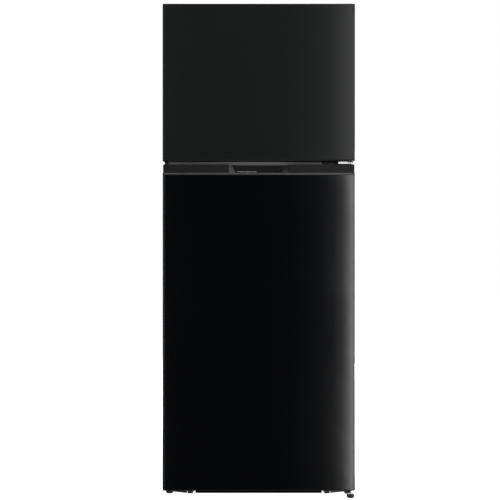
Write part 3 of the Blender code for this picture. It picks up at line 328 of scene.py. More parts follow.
CAP_RADIUS = 0.0007
LIP_DEEP = 0.0062  # how far back the part of a cap that shows reaches
CAP_BLACK = (0.0085, 0.0085, 0.0088)


def moulded(name, colour, roughness, grain=0.0009, depth=0.00002, slight=0.1, **constants):
    """Moulded plastic: a spark-eroded grain, and a little unevenness of shade and gloss."""

    def make(place):
        uneven = noise(place, 0.04, 3.0)
        shade = tuple(c * (1 - slight) for c in colour)
        return {
            "Base Color": blended(uneven, colour, shade),
            "Roughness": between(noise(place, 0.012, 3.0), roughness - 0.04, roughness + 0.04),
            "Normal": bumped(noise(place, grain, 2.0, 0.6), depth),
        }

    return new_finish(name, {k.replace("_", " "): v for k, v in constants.items()}, make)


cap_plastic = moulded("cap_plastic", CAP_BLACK, 0.45, Specular_IOR_Level=0.08)


def copy_of(node, dissolve=0.5):
    """A CAD node's surface with its triangles merged into flat faces."""
    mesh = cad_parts[node].data.copy()
    if "custom_normal" in mesh.attributes:
        mesh.attributes.remove(mesh.attributes["custom_normal"])
    bm = bmesh.new()
    bm.from_mesh(mesh)
    bpy.data.meshes.remove(mesh)
    bmesh.ops.remove_doubles(bm, verts=bm.verts, dist=2e-5)
    bmesh.ops.dissolve_limit(bm, angle_limit=math.radians(dissolve), verts=bm.verts, edges=bm.edges)
    return bm


def sharp_edges(bm, over, choose=lambda edge: True):
    bm.normal_update()
    limit = math.radians(over)
    return [
        e for e in bm.edges
        if len(e.link_faces) == 2 and e.calc_face_angle(0.0) > limit and choose(e)
    ]


def remade(
    name, node, finish, body, radius=0.0, segments=2, over=60, choose=lambda edge: True,
    dissolve=0.5, sharp=35,
):
    """A piece in a CAD node's shape. Its chosen edges of more than over degrees get the radius."""
    bm = copy_of(node, dissolve)
    if radius:
        rounded(bm, sharp_edges(bm, over, choose), radius, segments)
    return new_piece(name, bm, finish, body, [node], sharp)


for door, end in (("freezer_door", "top"), ("freezer_door", "bottom"), ("fridge_door", "bottom")):
    node = f"{door}_{end}_cap"
    low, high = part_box(node)

    def on_rim(edge):
        at = centre_of(edge)
        return not runs_along(edge, 2) and (
            at.y < low.y + LIP_DEEP or abs(at.x) > high.x - 0.0002 or at.y > high.y - 0.0002
        )

    remade(
        f"{door}_{end}_end", node, cap_plastic, door, CAP_RADIUS, choose=on_rim
    )

# ---------------------------------------------------------------- pull of the fridge door
# The fridge door's top cap is a band as high as three fingers. A bead runs along its lower edge, and
# a scoop in its middle lets fingers reach down behind the bead. A blank bar of satin metal is let
# into the scoop's back wall. The scoop's slanted end facets are drawn in a lighter grey plastic, a
# painted highlight for the light they catch.

BAR_LENGTH = 0.060
BAR_HEIGHT = 0.0021
BAR_LEFT = -0.0665
BAR_ABOVE_BEAD = 0.0046
SCOOP_DEPTH = 0.032
SCOOP_HALF = 0.1
PULL_TALL = 0.040
BEAD_TALL = 0.0065
BEAD_DEEP = 0.0012

low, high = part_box("fridge_door_top_cap")
pull = copy_of("fridge_door_top_cap")


def on_pull(edge):
    at = centre_of(edge)
    return at.y < low.y + SCOOP_DEPTH + 0.003 and at.z > high.z - PULL_TALL


rounded(pull, sharp_edges(pull, 35, on_pull), 0.0006, 3)
pull.normal_update()
bead_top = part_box("fridge_door_skin")[1].z + 0.0003 + BEAD_TALL
for face in pull.faces:
    at = face.calc_center_median()
    in_scoop = abs(at.x) < SCOOP_HALF and low.y + 0.001 < at.y < low.y + SCOOP_DEPTH
    # the bead gets a glossier plastic that is also a shade lighter than the cap: real gloss plus painted
    # highlight
    if at.z < bead_top + 0.0002 and at.y < low.y + BEAD_DEEP:
        face.material_index = 1
    # the scoop's slanted end facets: a lighter plastic as painted highlight
    elif in_scoop and at.z > bead_top - 0.0005 and 0.3 < abs(face.normal.x) < 0.97:
        face.material_index = 2
piece = new_piece(
    "fridge_door_pull", pull, cap_plastic, "fridge_door", ["fridge_door_top_cap"]
)
# the cap's plastic with more gloss, and a lighter colour that is painted highlight
glossy_bead_painted_highlight = moulded("glossy_bead_painted_highlight", (0.014, 0.014, 0.0145), 0.38, Specular_IOR_Level=0.5)
# the cap's black plastic drawn lighter: painted highlight on the scoop's facets
facet_painted_highlight = moulded("facet_painted_highlight", (0.065, 0.065, 0.066), 0.40, Specular_IOR_Level=0.5)
piece.data.materials.append(glossy_bead_painted_highlight)
piece.data.materials.append(facet_painted_highlight)

BAR_METAL = (0.50, 0.50, 0.51)


def metal(name, colour, roughness, make=None):
    """Bare or plated metal. make may return its varying sockets; else it has a fine brushed haze."""

    def hazed(place):
        streaks = noise(stretched(place, 1.0, 6.0, 6.0), 0.004, 3.0)
        return {
            "Base Color": blended(noise(place, 0.03, 3.0), colour, tuple(c * 0.86 for c in colour)),
            "Roughness": between(streaks, roughness - 0.05, roughness + 0.05),
            "Normal": bumped(streaks, 0.000006),
        }

    return new_finish(name, {"Metallic": 1.0}, make or hazed)


satin_bar = metal("satin_bar", BAR_METAL, 0.28)
back_wall = low.y + SCOOP_DEPTH
bar_low = bead_top + BAR_ABOVE_BEAD
bar = slab(
    (BAR_LEFT, back_wall - 0.0009, bar_low),
    (BAR_LEFT + BAR_LENGTH, back_wall + 0.0004, bar_low + BAR_HEIGHT),
)
rounded(bar, [e for e in bar.edges if centre_of(e).y < back_wall - 0.0005], 0.0004, 2)
new_piece("pull_inlay", bar, satin_bar, "fridge_door")

# ---------------------------------------------------------------- door gaskets
# A soft vinyl gasket runs round the back of each door. Its flat face holds a magnet, and between that
# and its foot in the door it is folded like a bellows, with mitred, welded corners.

GASKET_GREY = (0.035, 0.035, 0.037)
GASKET_HALF = 0.0100  # half its width
BELLOWS_FOLDS = 5
BELLOWS_DEPTH = 0.0014

gasket_vinyl = moulded("gasket_vinyl", GASKET_GREY, 0.55, 0.0015, 0.00001)


def sliced(bm, at, across, **options):
    """Cuts the whole mesh by a plane, and returns the points of the cut."""
    everything = [*bm.verts, *bm.edges, *bm.faces]
    cut = bmesh.ops.bisect_plane(bm, geom=everything, plane_co=at, plane_no=across, **options)
    return points_in(cut["geom_cut"])


for door in ("freezer_door", "fridge_door"):
    node = f"{door}_gasket"
    low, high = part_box(node)
    middle_z, half_tall = (low.z + high.z) / 2, (high.z - low.z) / 2
    gasket = copy_of(node)
    first, last = low.y + 0.0012, high.y - 0.0022
    for fold in range(1, BELLOWS_FOLDS + 1):
        at = first + (last - first) * fold / (BELLOWS_FOLDS + 1)
        ring = sliced(gasket, (0, at, 0), (0, 1, 0), dist=1e-6)
        for vert in ring if fold % 2 else ():
            beside = abs(vert.co.x) > high.x - GASKET_HALF
            outside = beside or abs(vert.co.z - middle_z) > half_tall - GASKET_HALF
            step = -BELLOWS_DEPTH if outside else BELLOWS_DEPTH
            vert.co.x += math.copysign(step, vert.co.x)
            vert.co.z += math.copysign(step, vert.co.z - middle_z)
    new_piece(f"{door}_seal", gasket, gasket_vinyl, door, [node], sharp=25)

# ---------------------------------------------------------------- cabinet outside
# The top and sides are one sheet of painted steel, folded with a tight radius at the top corners and
# turned in round the front. The paint has a fine pebble. The back is a galvanised sheet with pressed
# ribs, held by screws along its edges, and a steel floor folds up in front of the compressor.

WRAP_RADIUS = 0.0009
PEBBLE_BLACK = (0.0060, 0.0062, 0.0066)
GALVANISED = (0.46, 0.47, 0.48)
RIB_COUNT = 5
RIB_WIDTH = 0.030
RIB_DEPTH = 0.0012
RIB_END = 0.10  # from the sheet's edge
BACK_SCREW_INSET = 0.008
BAY_FRONT = 0.166


def pebbled(place):
    values = {"Vector": place, "Scale": 520.0}
    pebbles = place.add("ShaderNodeTexVoronoi", {"feature": "SMOOTH_F1"}, values)
    wear = noise(place, 0.3, 4.0)
    return {
        "Base Color": blended(wear, PEBBLE_BLACK, tuple(c * 1.3 for c in PEBBLE_BLACK)),
        "Roughness": between(noise(place, 0.05, 3.0), 0.34, 0.42),
        "Normal": bumped(pebbles, 0.00006),
    }


def spangled(place):
    crystals = place.add("ShaderNodeTexVoronoi", {}, {"Vector": place, "Scale": 95.0}, 1)
    share = crystals.add("ShaderNodeSeparateColor", {}, {"Color": crystals})
    return {
        "Base Color": blended(share, GALVANISED, tuple(c * 0.80 for c in GALVANISED)),
        "Roughness": between(share, 0.34, 0.52),
        "Normal": bumped(noise(place, 0.09, 2.0) + share * 0.02, 0.0002),
    }


pebble_paint = new_finish("pebble_paint", {}, pebbled)
galvanised = metal("galvanised_sheet", GALVANISED, 0.4, spangled)
screw_steel = metal("screw_steel", (0.55, 0.55, 0.54), 0.32)
dark_zinc = metal("dark_screw", (0.10, 0.10, 0.10), 0.38)


def joined(*parts):
    """One mesh of several, which are freed."""
    whole = bmesh.new()
    for part in parts:
        mesh = bpy.data.meshes.new("part")
        part.to_mesh(mesh)
        part.free()
        whole.from_mesh(mesh)
        bpy.data.meshes.remove(mesh)
    return whole


AXES = {
    "Z": Vector((0, 0, 1)), "-Z": Vector((0, 0, -1)), "Y": Vector((0, 1, 0)),
    "-Y": Vector((0, -1, 0)), "X": Vector((1, 0, 0)), "-X": Vector((-1, 0, 0)),
}


def stood(bm, centre, direction):
    """Turns a mesh that was made along Z to face another way, and moves it to its place."""
    turn = Vector((0, 0, 1)).rotation_difference(AXES[direction]).to_matrix().to_4x4()
    bmesh.ops.transform(bm, verts=bm.verts, matrix=Matrix.Translation(centre) @ turn)
    return bm


def turned(profile, centre, direction="Z", steps=32):
    """A profile of (radius, height) points, spun once round the axis through centre."""
    bm = bmesh.new()
    points = [bm.verts.new((radius, 0, height)) for radius, height in profile]
    sides = [bm.edges.new(pair) for pair in zip(points, points[1:])]
    bmesh.ops.spin(bm, geom=points + sides, axis=(0, 0, 1), angle=math.tau, steps=steps, use_merge=True)
    bmesh.ops.remove_doubles(bm, verts=bm.verts, dist=1e-6)
    bmesh.ops.recalc_face_normals(bm, faces=bm.faces)
    return stood(bm, centre, direction)


def cross_screw(centre, direction, radius, tall):
    """A pan-head screw with a cross recess. centre is under its head, which faces direction."""
    profile = [
        (0, tall), (radius * 0.62, tall), (radius * 0.88, tall * 0.72), (radius, tall * 0.3),
        (radius, 0), (0, 0),
    ]
    bm = turned(profile, (0, 0, 0), "Z", 20)
    bm.normal_update()
    top = [f for f in bm.faces if f.normal.z > 0.99 and f.calc_center_median().z > tall * 0.9]
    bmesh.ops.dissolve_faces(bm, faces=top)
    slot, reach = radius * 0.13, radius * 0.48
    for axis in (0, 1):
        for at in (-reach, -slot, slot, reach):
            place, normal = Vector((0, 0, 0)), Vector((0, 0, 0))
            place[axis], normal[axis] = at, 1
            top = [f for f in bm.faces if f.calc_center_median().z > tall * 0.99]
            ring = {e for f in top for e in f.edges}
            points = {v for f in top for v in f.verts}
            bmesh.ops.bisect_plane(
                bm, geom=[*top, *ring, *points], plane_co=place, plane_no=normal, dist=1e-7
            )
    cross = []
    for face in bm.faces:
        at = face.calc_center_median()
        if at.z > tall * 0.99 and (
            (abs(at.x) < slot and abs(at.y) < reach) or (abs(at.y) < slot and abs(at.x) < reach)
        ):
            cross.append(face)
    sunk = bmesh.ops.extrude_face_region(bm, geom=cross)["geom"]
    bmesh.ops.translate(bm, verts=points_in(sunk), vec=(0, 0, -tall * 0.7))
    return stood(bm, centre, direction)


def screws(name, places, direction, radius, tall, finish=screw_steel):
    heads = [cross_screw(place, direction, radius, tall) for place in places]
    new_piece(name, joined(*heads), finish, "cabinet")


shell = copy_of("cabinet_shell")
low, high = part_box("cabinet_shell")


def on_wrap(edge):
    at = centre_of(edge)
    beside, above = abs(at.x) > high.x - 2e-4, at.z > high.z - 2e-4
    front = (runs_along(edge, 2) and beside or runs_along(edge, 0) and above) and at.y < low.y + 2e-4
    return runs_along(edge, 1) and beside and above or front


rounded(shell, [e for e in shell.edges if on_wrap(e)], WRAP_RADIUS, 4)
new_piece("cabinet_wrap", shell, pebble_paint, "cabinet", ["cabinet_shell"])

low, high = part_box("back_panel")
panel = slab(low, high)
inner = [f for f in panel.faces if f.normal.y < 0.5]
bmesh.ops.delete(panel, geom=inner, context="FACES")
rib_top, rib_low = high.z - RIB_END, low.z + RIB_END
pitch = (high.x - low.x) / RIB_COUNT
for rib in range(RIB_COUNT):
    for side in (-0.5, 0.5):
        sliced(panel, (low.x + pitch * (rib + 0.5) + side * RIB_WIDTH, 0, 0), (1, 0, 0))
for at in (rib_low, rib_top):
    sliced(panel, (0, 0, at), (0, 0, 1))
ribs = []
for face in panel.faces:
    at = face.calc_center_median()
    offset = (at.x - low.x) / pitch % 1 - 0.5
    if abs(offset) * pitch < RIB_WIDTH / 2 and rib_low < at.z < rib_top:
        ribs.append(face)
bmesh.ops.inset_individual(panel, faces=ribs, thickness=0.004, depth=-RIB_DEPTH, use_even_offset=True)
new_piece(
    "back_sheet", panel, galvanised, "cabinet", ["back_panel"], sharp=8,
    wall=high.y - low.y,
)
holes = []
for side in (-1, 1):
    for step in range(7):
        at = low.z + 0.03 + (high.z - low.z - 0.06) * step / 6
        holes.append((side * (high.x - BACK_SCREW_INSET), at))
for step in range(1, 5):
    for at in (low.z + BACK_SCREW_INSET, high.z - BACK_SCREW_INSET):
        holes.append((low.x + (high.x - low.x) * step / 5, at))
under = high.y - 0.0003 - RIB_DEPTH
screws("back_screws", [(x, under, z) for x, z in holes], "Y", 0.0036, RIB_DEPTH + 0.0003)


def refinish(finish, *nodes):
    """Gives its finish to each CAD node whose shape is right as it is."""
    for node in nodes:
        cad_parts[node].data.materials[0] = finish


refinish(galvanised, "base_pan")

# Painted steel lines the sides of the compressor bay and turns in behind the foam.
low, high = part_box("base_pan")
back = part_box("cabinet_shell")[1].y
for hand, side in (("left", -1), ("right", 1)):
    lining = joined(
        slab((high.x + 0.0001, BAY_FRONT, low.z), (high.x + 0.0009, back - 0.0002, high.z)),
        slab((high.x + 0.0001, back - 0.0010, low.z), (high.x + 0.0107, back - 0.0002, high.z)),
    )
    if side < 0:
        bmesh.ops.scale(lining, verts=lining.verts, vec=(-1, 1, 1))
        bmesh.ops.reverse_faces(lining, faces=lining.faces)
    new_piece(f"bay_side_{hand}", lining, pebble_paint, "cabinet")

# Two round plugs close the holes through which the foam was poured.
plug_plastic = moulded("plug_plastic", (0.03, 0.03, 0.03), 0.5)
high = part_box("back_panel")[1]
plug = [
    (0, 0.0002), (0.0085, 0.0002), (0.0098, 0.0008), (0.0120, 0.0008), (0.0125, 0.0003),
    (0.0125, -0.0004),
]
plugs = [turned(plug, (x, high.y - 0.0009, high.z - 0.215), "Y") for x in (-0.118, 0.118)]
new_piece("foam_port_plugs", joined(*plugs), plug_plastic, "cabinet")

# ---------------------------------------------------------------- rail between the doors
# A painted steel rail closes the cabinet's front between the two compartments and runs out over the
# ends of the sides. At its left end, three plastic plugs close the holes that are there for hanging
# the doors on the other side.

RAIL_GREY = (0.33, 0.33, 0.34)
PLUG_PLACES = (-0.280, -0.2705, -0.2615)

rail_paint = sheet_paint("rail_paint", RAIL_GREY, 0.40, 0.00005, 0.4)
refinish(rail_paint, "crossrail")
low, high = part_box("crossrail")
plug_white = moulded("plug_white", (0.70, 0.70, 0.68), 0.4)
plug = [(0, 0.0017), (0.0012, 0.0017), (0.0019, 0.0012), (0.0021, 0.0003), (0.0021, 0)]
rail_plugs = [turned(plug, (x, low.y, (low.z + high.z) / 2), "-Y", 20) for x in PLUG_PLACES]
new_piece("rail_plugs", joined(*rail_plugs), plug_white, "cabinet")

# ---------------------------------------------------------------- hinges
# Three pressed steel brackets carry the doors on one line of pins. The middle one is screwed to the
# rail and its arm reaches out into the gap; the arm is bright zinc, and its leaf, deep in the gap, is
# drawn in a dark paint that is painted shade. The top one lies on the cabinet under a clipped plastic
# cover.

ZINC = (0.46, 0.46, 0.45)
# the leaf's dark colour is painted shade for its place deep in the gap
SHADED_LEAF_DARK = (0.020, 0.020, 0.020)
LEAF_THICK = 0.0031

zinc_plate = metal("zinc_plate", ZINC, 0.32)
leaf_painted_shade = sheet_paint("leaf_painted_shade", SHADED_LEAF_DARK, 0.35, 0.00002, 0.3)
pin_steel = metal("pin_steel", (0.16, 0.16, 0.17), 0.30)

refinish(pin_steel, "middle_hinge_pin", "top_hinge_pin", "bottom_hinge_pin")


def middle_of(node):
    return [(low + high) / 2 for low, high in zip(*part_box(node))]


low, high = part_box("middle_hinge_bracket")
leaf_front = high.y - LEAF_THICK
arm = copy_of("middle_hinge_bracket")
sliced(arm, (0, leaf_front - 0.00005, 0), (0, 1, 0), clear_outer=True)
bmesh.ops.holes_fill(arm, edges=[e for e in arm.edges if e.is_boundary])


def on_arm(edge):
    return not runs_along(edge, 1) or centre_of(edge).x < low.x + 0.05


rounded(arm, sharp_edges(arm, 50, on_arm), 0.0005, 2)
new_piece("middle_hinge_arm", arm, zinc_plate, "cabinet", ["middle_hinge_bracket"])
leaf = slab((low.x, leaf_front, low.z), (high.x, high.y, high.z))
rounded(leaf, [e for e in leaf.edges if runs_along(e, 1)], 0.004, 5)
leaf_rim = [
    e for e in leaf.edges if not runs_along(e, 1) and centre_of(e).y < leaf_front + 1e-5
]
rounded(leaf, leaf_rim, 0.0006, 2)
new_piece("middle_hinge_leaf", leaf, leaf_painted_shade, "cabinet")
middle_z = (low.z + high.z) / 2
places = [(0.2235, leaf_front, middle_z), (0.2085, leaf_front, middle_z + 0.0055)]
screws("middle_hinge_screws", places, "-Y", 0.0042, 0.0026, dark_zinc)
axis_x, axis_y, _ = middle_of("middle_hinge_pin")
washer = [
    (0.0037, 0), (0.0058, 0), (0.0062, 0.0004), (0.0062, 0.0012), (0.0058, 0.0016),
    (0.0037, 0.0016), (0.0037, 0),
]
washers = [
    turned(washer, (axis_x, axis_y, z), "Z", 28) for z in (middle_z + 0.0016, middle_z - 0.0032)
]
washer_plastic = moulded("washer_plastic", (0.018, 0.018, 0.018), 0.35)
new_piece("hinge_washers", joined(*washers), washer_plastic, "cabinet")

remade("top_hinge_plate", "top_hinge_bracket", zinc_plate, "cabinet", 0.0005, over=50)
remade("top_hinge_hood", "top_hinge_cover", cap_plastic, "cabinet", sharp=30)
low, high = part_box("top_hinge_cover")
place = ((low.x + high.x) / 2, high.y - 0.022, high.z - 0.0016)
screws("hood_screw", [place], "Z", 0.0042, 0.0015, dark_zinc)

# ---------------------------------------------------------------- corner brackets, feet and rollers
# A folded bracket under each front corner holds a roller and a levelling foot. The right one steps
# down and runs forward to carry the fridge door. Each foot is a ribbed knob on a threaded stud.

FOOT_GREY = (0.016, 0.016, 0.017)
TREAD_GREY = (0.05, 0.05, 0.052)
TONGUE_LEFT = 0.2655
TONGUE_REAR = -0.2505
KNOB_TALL = 0.0117
KNOB_LIFT = 0.0025  # the knob starts this far above its pad's sole
KNOB_RIBS = 22
KNOB_RIB_DEPTH = 0.0010
THREAD_PITCH = 0.00125
HALF_TREAD = 0.0085

bracket_paint = sheet_paint("bracket_paint", (0.020, 0.020, 0.021), 0.32, 0.00003, 0.45)
foot_plastic = moulded("foot_plastic", FOOT_GREY, 0.45)
wheel_plastic = moulded("wheel_plastic", TREAD_GREY, 0.5)

for node in ("left_foot_bracket", "bottom_hinge_bracket"):
    bracket = copy_of(node)
    rounded(bracket, sharp_edges(bracket, 70), 0.0004, 2)
    for face in bracket.faces:
        at = face.calc_center_median()
        face.material_index = int(at.x > TONGUE_LEFT and at.y < TONGUE_REAR)
    piece = new_piece(f"{node}_plate", bracket, bracket_paint, "cabinet", [node])
    piece.data.materials.append(zinc_plate)  # the tongue that carries the door is bare
tongue_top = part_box("bottom_hinge_bracket")[0].z + 0.003
bush = [
    (0.0050, 0), (0.0068, 0), (0.0068, 0.0016), (0.0060, 0.0022), (0.0060, 0.0080), (0.0050, 0.0080),
    (0.0050, 0),
]
bush = turned(bush, (axis_x, axis_y, tongue_top + 0.0003))
new_piece("bottom_hinge_bush", bush, washer_plastic, "cabinet")

places = []
for side, node in ((-1, "left_foot_bracket"), (1, "bottom_hinge_bracket")):
    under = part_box(node)[1].z - 0.003
    places += [(side * 0.212, -0.218, under), (side * 0.262, -0.205, under)]
screws("bracket_screws", places, "-Z", 0.0048, 0.0026)


def knob(centre, radius, tall):
    """A ribbed knob: the points between its ribs are drawn in."""
    bm = bmesh.new()
    bmesh.ops.create_cone(
        bm, cap_ends=True, segments=KNOB_RIBS * 4, radius1=radius, radius2=radius, depth=tall
    )
    for vert in bm.verts:
        if 0.45 < math.atan2(vert.co.y, vert.co.x) / math.tau * KNOB_RIBS % 1 < 0.8:
            vert.co.xy *= 1 - KNOB_RIB_DEPTH / radius
    rims = [e for e in bm.edges if abs(e.verts[0].co.z - e.verts[1].co.z) < 1e-6]
    rounded(bm, rims, 0.0006, 2)
    bmesh.ops.translate(bm, verts=bm.verts, vec=Vector(centre) + Vector((0, 0, tall / 2)))
    return bm


def threaded_stud(centre, radius, tall):
    """A stud with rounded threads, as rings one pitch apart."""
    profile, z = [(0, 0), (radius - 0.0006, 0)], 0.0003
    while z + THREAD_PITCH < tall:
        profile.append((radius - 0.0007, z))
        profile += [(radius, z + THREAD_PITCH * crest) for crest in (0.45, 0.55)]
        z += THREAD_PITCH
    profile += [(radius - 0.0008, tall), (0, tall)]
    return turned(profile, centre, "Z", 24)


for node, body in (("front_foot_left", "left_foot"), ("front_foot_right", "right_foot")):
    low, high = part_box(node)
    x, y, _ = middle_of(node)
    radius = (high.x - low.x) / 2
    pad = [
        (0, 0), (radius - 0.0028, 0), (radius - 0.0016, 0.0008), (radius - 0.0016, 0.0026),
        (0, 0.0026),
    ]
    foot = joined(
        knob((x, y, low.z + KNOB_LIFT), radius, KNOB_TALL - KNOB_LIFT),
        turned(pad, (x, y, low.z)),
    )
    new_piece(f"{body}_knob", foot, foot_plastic, body, [node])
    stud = threaded_stud(
        (x, y, low.z + KNOB_TALL), 0.004, high.z - low.z - KNOB_TALL - 0.0002
    )
    new_piece(f"{body}_stud", stud, screw_steel, body)


def mirrored(side):
    """A whole profile from the half of it on one side of its middle."""
    return side + [(radius, -height) for radius, height in reversed(side)]


for row in ("front", "rear"):
    for hand in ("left", "right"):
        node = f"{row}_roller_{hand}"
        low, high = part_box(node)
        centre = (low + high) / 2
        radius, half = (high.z - low.z) / 2, HALF_TREAD
        side = [
            (0.0042, half - 0.0030), (0.0060, half - 0.0030), (radius - 0.0034, half - 0.0030),
            (radius - 0.0028, half - 0.0002), (radius - 0.0016, half), (radius - 0.0004, half - 0.0007),
            (radius, half - 0.0020),
        ]
        hub = [(0, half + 0.0001), (0.0040, half + 0.0001), (0.0046, half - 0.0006)]
        wheel = joined(
            turned(mirrored(side), centre, "X", 40), turned(mirrored(hub), centre, "X", 24)
        )
        body = f"{hand}_{row}_roller"
        new_piece(f"{node}_wheel", wheel, wheel_plastic, body, [node])
        half = (high.x - low.x) / 2
        axle = mirrored([(0, half), (0.0024, half), (0.0029, half - 0.0005)])
        new_piece(f"{node}_axle", turned(axle, centre, "X", 20), screw_steel, body)

# the kick rail is black plastic drawn darker still and nearly glossless: painted shade for the shadow
# under the doors
kick_plastic_painted_shade = moulded("kick_plastic_painted_shade", (0.0014, 0.0014, 0.0015), 0.6, Specular_IOR_Level=0.02)
remade(
    "kick_rail", "front_kick_rail", kick_plastic_painted_shade, "cabinet", 0.0006, segments=3
)

# ---------------------------------------------------------------- compressor bay
# The compressor is a welded, black-painted can on rubber feet, with its start relay clipped to its
# side and copper tubes brazed into it. Beside it the defrost water evaporates from a moulded tray.
# All of it stands on a ribbed galvanised plate.

CAN_BLACK = (0.012, 0.012, 0.013)
COPPER = (0.72, 0.34, 0.20)


def coppery(place):
    tarnish = band(noise(place, 0.02, 4.0), 0.45, 0.7)
    return {
        "Base Color": blended(tarnish, COPPER, (0.32, 0.15, 0.09)),
        "Roughness": between(tarnish, 0.24, 0.46),
        "Normal": bumped(noise(place, 0.002, 2.0), 0.00001),
    }


can_paint = sheet_paint("can_paint", CAN_BLACK, 0.28, 0.0, 0.5, 0.00003)
copper_tube = metal("copper_tube", COPPER, 0.3, coppery)
relay_plastic = moulded("relay_plastic", (0.012, 0.012, 0.012), 0.5)
tray_plastic = moulded("tray_plastic", (0.62, 0.64, 0.64), 0.42, 0.0015)

refinish(copper_tube, "suction_pipe", "discharge_pipe")
for name, node, finish, slot, radius in (
    ("bay_plate", "compressor_plate", galvanised, "galvanised", 0.0003),
    ("relay_housing", "relay_box", relay_plastic, "black_plastic", 0.0010),
    ("water_tray", "drip_tray", tray_plastic, "white_plastic", 0.0003),
):
    remade(name, node, finish, "cabinet", radius, sharp=30)

# The can is two pressed halves, oval in plan, welded round a seam. It stands on a plate whose four
# corners are bolted down through rubber grommets.
CAN_STRETCH = 1.35  # how much longer than wide
CAN_LIFT = 0.0212  # from the bay's plate to the can's floor
grommet_rubber = moulded("grommet_rubber", (0.02, 0.02, 0.02), 0.75)

low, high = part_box("compressor")
can_x, can_y, _ = middle_of("compressor")
can_floor = low.z + CAN_LIFT
tall = high.z - can_floor
seam_radius = (high.y - low.y) / 2
r = seam_radius / 1.04
seam_low, seam_top = tall * 0.52, tall * 0.56
halves = turned(
    [
        (0, tall), (r * 0.30, tall - 0.0008), (r * 0.55, tall - 0.0040), (r * 0.74, tall - 0.0100),
        (r * 0.88, tall - 0.0190), (r * 0.95, tall - 0.0300), (r * 0.98, tall - 0.0420),
        (r * 0.98, seam_top + 0.001), (seam_radius - 0.0008, seam_top), (seam_radius, seam_top - 0.001),
        (seam_radius, seam_low + 0.001), (seam_radius - 0.0008, seam_low), (r * 0.96, seam_low - 0.001),
        (r * 0.96, 0.040), (r * 0.92, 0.025), (r * 0.80, 0.012), (r * 0.62, 0.004),
        (r * 0.40, 0.001), (0, 0),
    ],
    (0, 0, 0), "Z", 96,
)
bmesh.ops.scale(halves, verts=halves.verts, vec=(CAN_STRETCH, 1, 1))
bmesh.ops.translate(halves, verts=halves.verts, vec=(can_x, can_y, can_floor))
plate_low, plate_top = low.z + 0.014, low.z + 0.017
feet_plate = slab((low.x, can_y - 0.045, plate_low), (high.x, can_y + 0.045, plate_top))
rounded(feet_plate, [e for e in feet_plate.edges if runs_along(e, 2)], 0.010, 6)
neck = [(0, 0.010), (0.030, 0.010), (0.034, 0), (0, 0)]
neck = turned(neck, (can_x, can_y, plate_top - 0.001), "Z", 48)
new_piece(
    "compressor_can", joined(halves, feet_plate, neck), can_paint, "cabinet",
    ["compressor"], sharp=40,
)
below = [
    (0, 0), (0.0090, 0), (0.0100, 0.0010), (0.0100, 0.0045), (0.0078, 0.0060), (0.0078, 0.0085),
    (0.0100, 0.0100), (0.0100, 0.0130), (0.0090, 0.0139), (0, 0.0139),
]
above = [(0, 0.0171), (0.0088, 0.0171), (0.0088, 0.0190), (0.0078, 0.0200), (0, 0.0200)]
grommets, tops = [], []
for dx in (-0.082, 0.082):
    for dy in (-0.033, 0.033):
        at = Vector((can_x + dx, can_y + dy, low.z))
        grommets += [turned(below, at, "Z", 28), turned(above, at, "Z", 28)]
        tops.append(at + Vector((0, 0, 0.0200)))
new_piece("compressor_grommets", joined(*grommets), grommet_rubber, "cabinet")
screws("compressor_bolts", tops, "Z", 0.0055, 0.0035)

# ---------------------------------------------------------------- compartment liners
# Each compartment is one vacuum-formed white sheet with rounded corners, and ledges in the fridge's
# sides carry its shelves. The sheet is glossy, with the faint unevenness of forming.

ABS_WHITE = (0.80, 0.82, 0.82)
MOULDED_WHITE = (0.76, 0.78, 0.79)
FOAM_YELLOW = (0.78, 0.63, 0.34)

abs_white = moulded("abs_white", ABS_WHITE, 0.30, 0.006, 0.000015, 0.02)
moulded_white = moulded("moulded_white", MOULDED_WHITE, 0.40, 0.0012, 0.00001, 0.02)
foam_yellow = moulded("insulating_foam", FOAM_YELLOW, 0.9, 0.0015, 0.0002, 0.2)


def taped(place):
    """Poured foam with white tape over its front edge."""
    along = place.add("ShaderNodeSeparateXYZ", {}, {"Vector": place}, 1)
    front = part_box("cabinet_foam")[0].y
    poured = band(along, front + 0.0010, front + 0.0014)
    cells = noise(place, 0.0015, 2.0, 0.6)
    shade = blended(cells, FOAM_YELLOW, tuple(c * 0.8 for c in FOAM_YELLOW))
    return {
        "Base Color": blended(poured, ABS_WHITE, shade),
        "Roughness": between(poured, 0.45, 0.90),
        "Normal": bumped(cells, 0.0002),
    }


refinish(foam_yellow, "freezer_door_foam", "fridge_door_foam")
refinish(new_finish("taped_foam", {}, taped), "cabinet_foam")
for node in ("freezer_liner", "fridge_liner"):
    remade(f"{node}_sheet", node, abs_white, "cabinet", dissolve=0.2, sharp=50)

# ---------------------------------------------------------------- glass shelves
# Four tempered glass plates lie on the ledges. Each has ground edges and a white moulded trim clipped
# over its front, which stops jars sliding off.

GLASS_TINT = (0.86, 0.95, 0.93)
TRIM_TALL = 0.009
TRIM_DEEP = 0.014
TRIM_PROUD = 0.0022


def clear_finish(name, tint, roughness, grain):
    """See-through glass or plastic, with smudges that dull it in places."""

    def make(place):
        smudges = band(noise(place, 0.05, 4.0, 0.6), 0.45, 0.75)
        return {
            "Base Color": blended(smudges, tint, tuple(c * 0.97 for c in tint)),
            "Roughness": between(smudges, roughness, roughness + 0.05),
            "Normal": bumped(noise(place, grain, 1.0), 0.00001),
        }

    return new_finish(name, {"Transmission Weight": 1.0, "IOR": 1.49}, make)


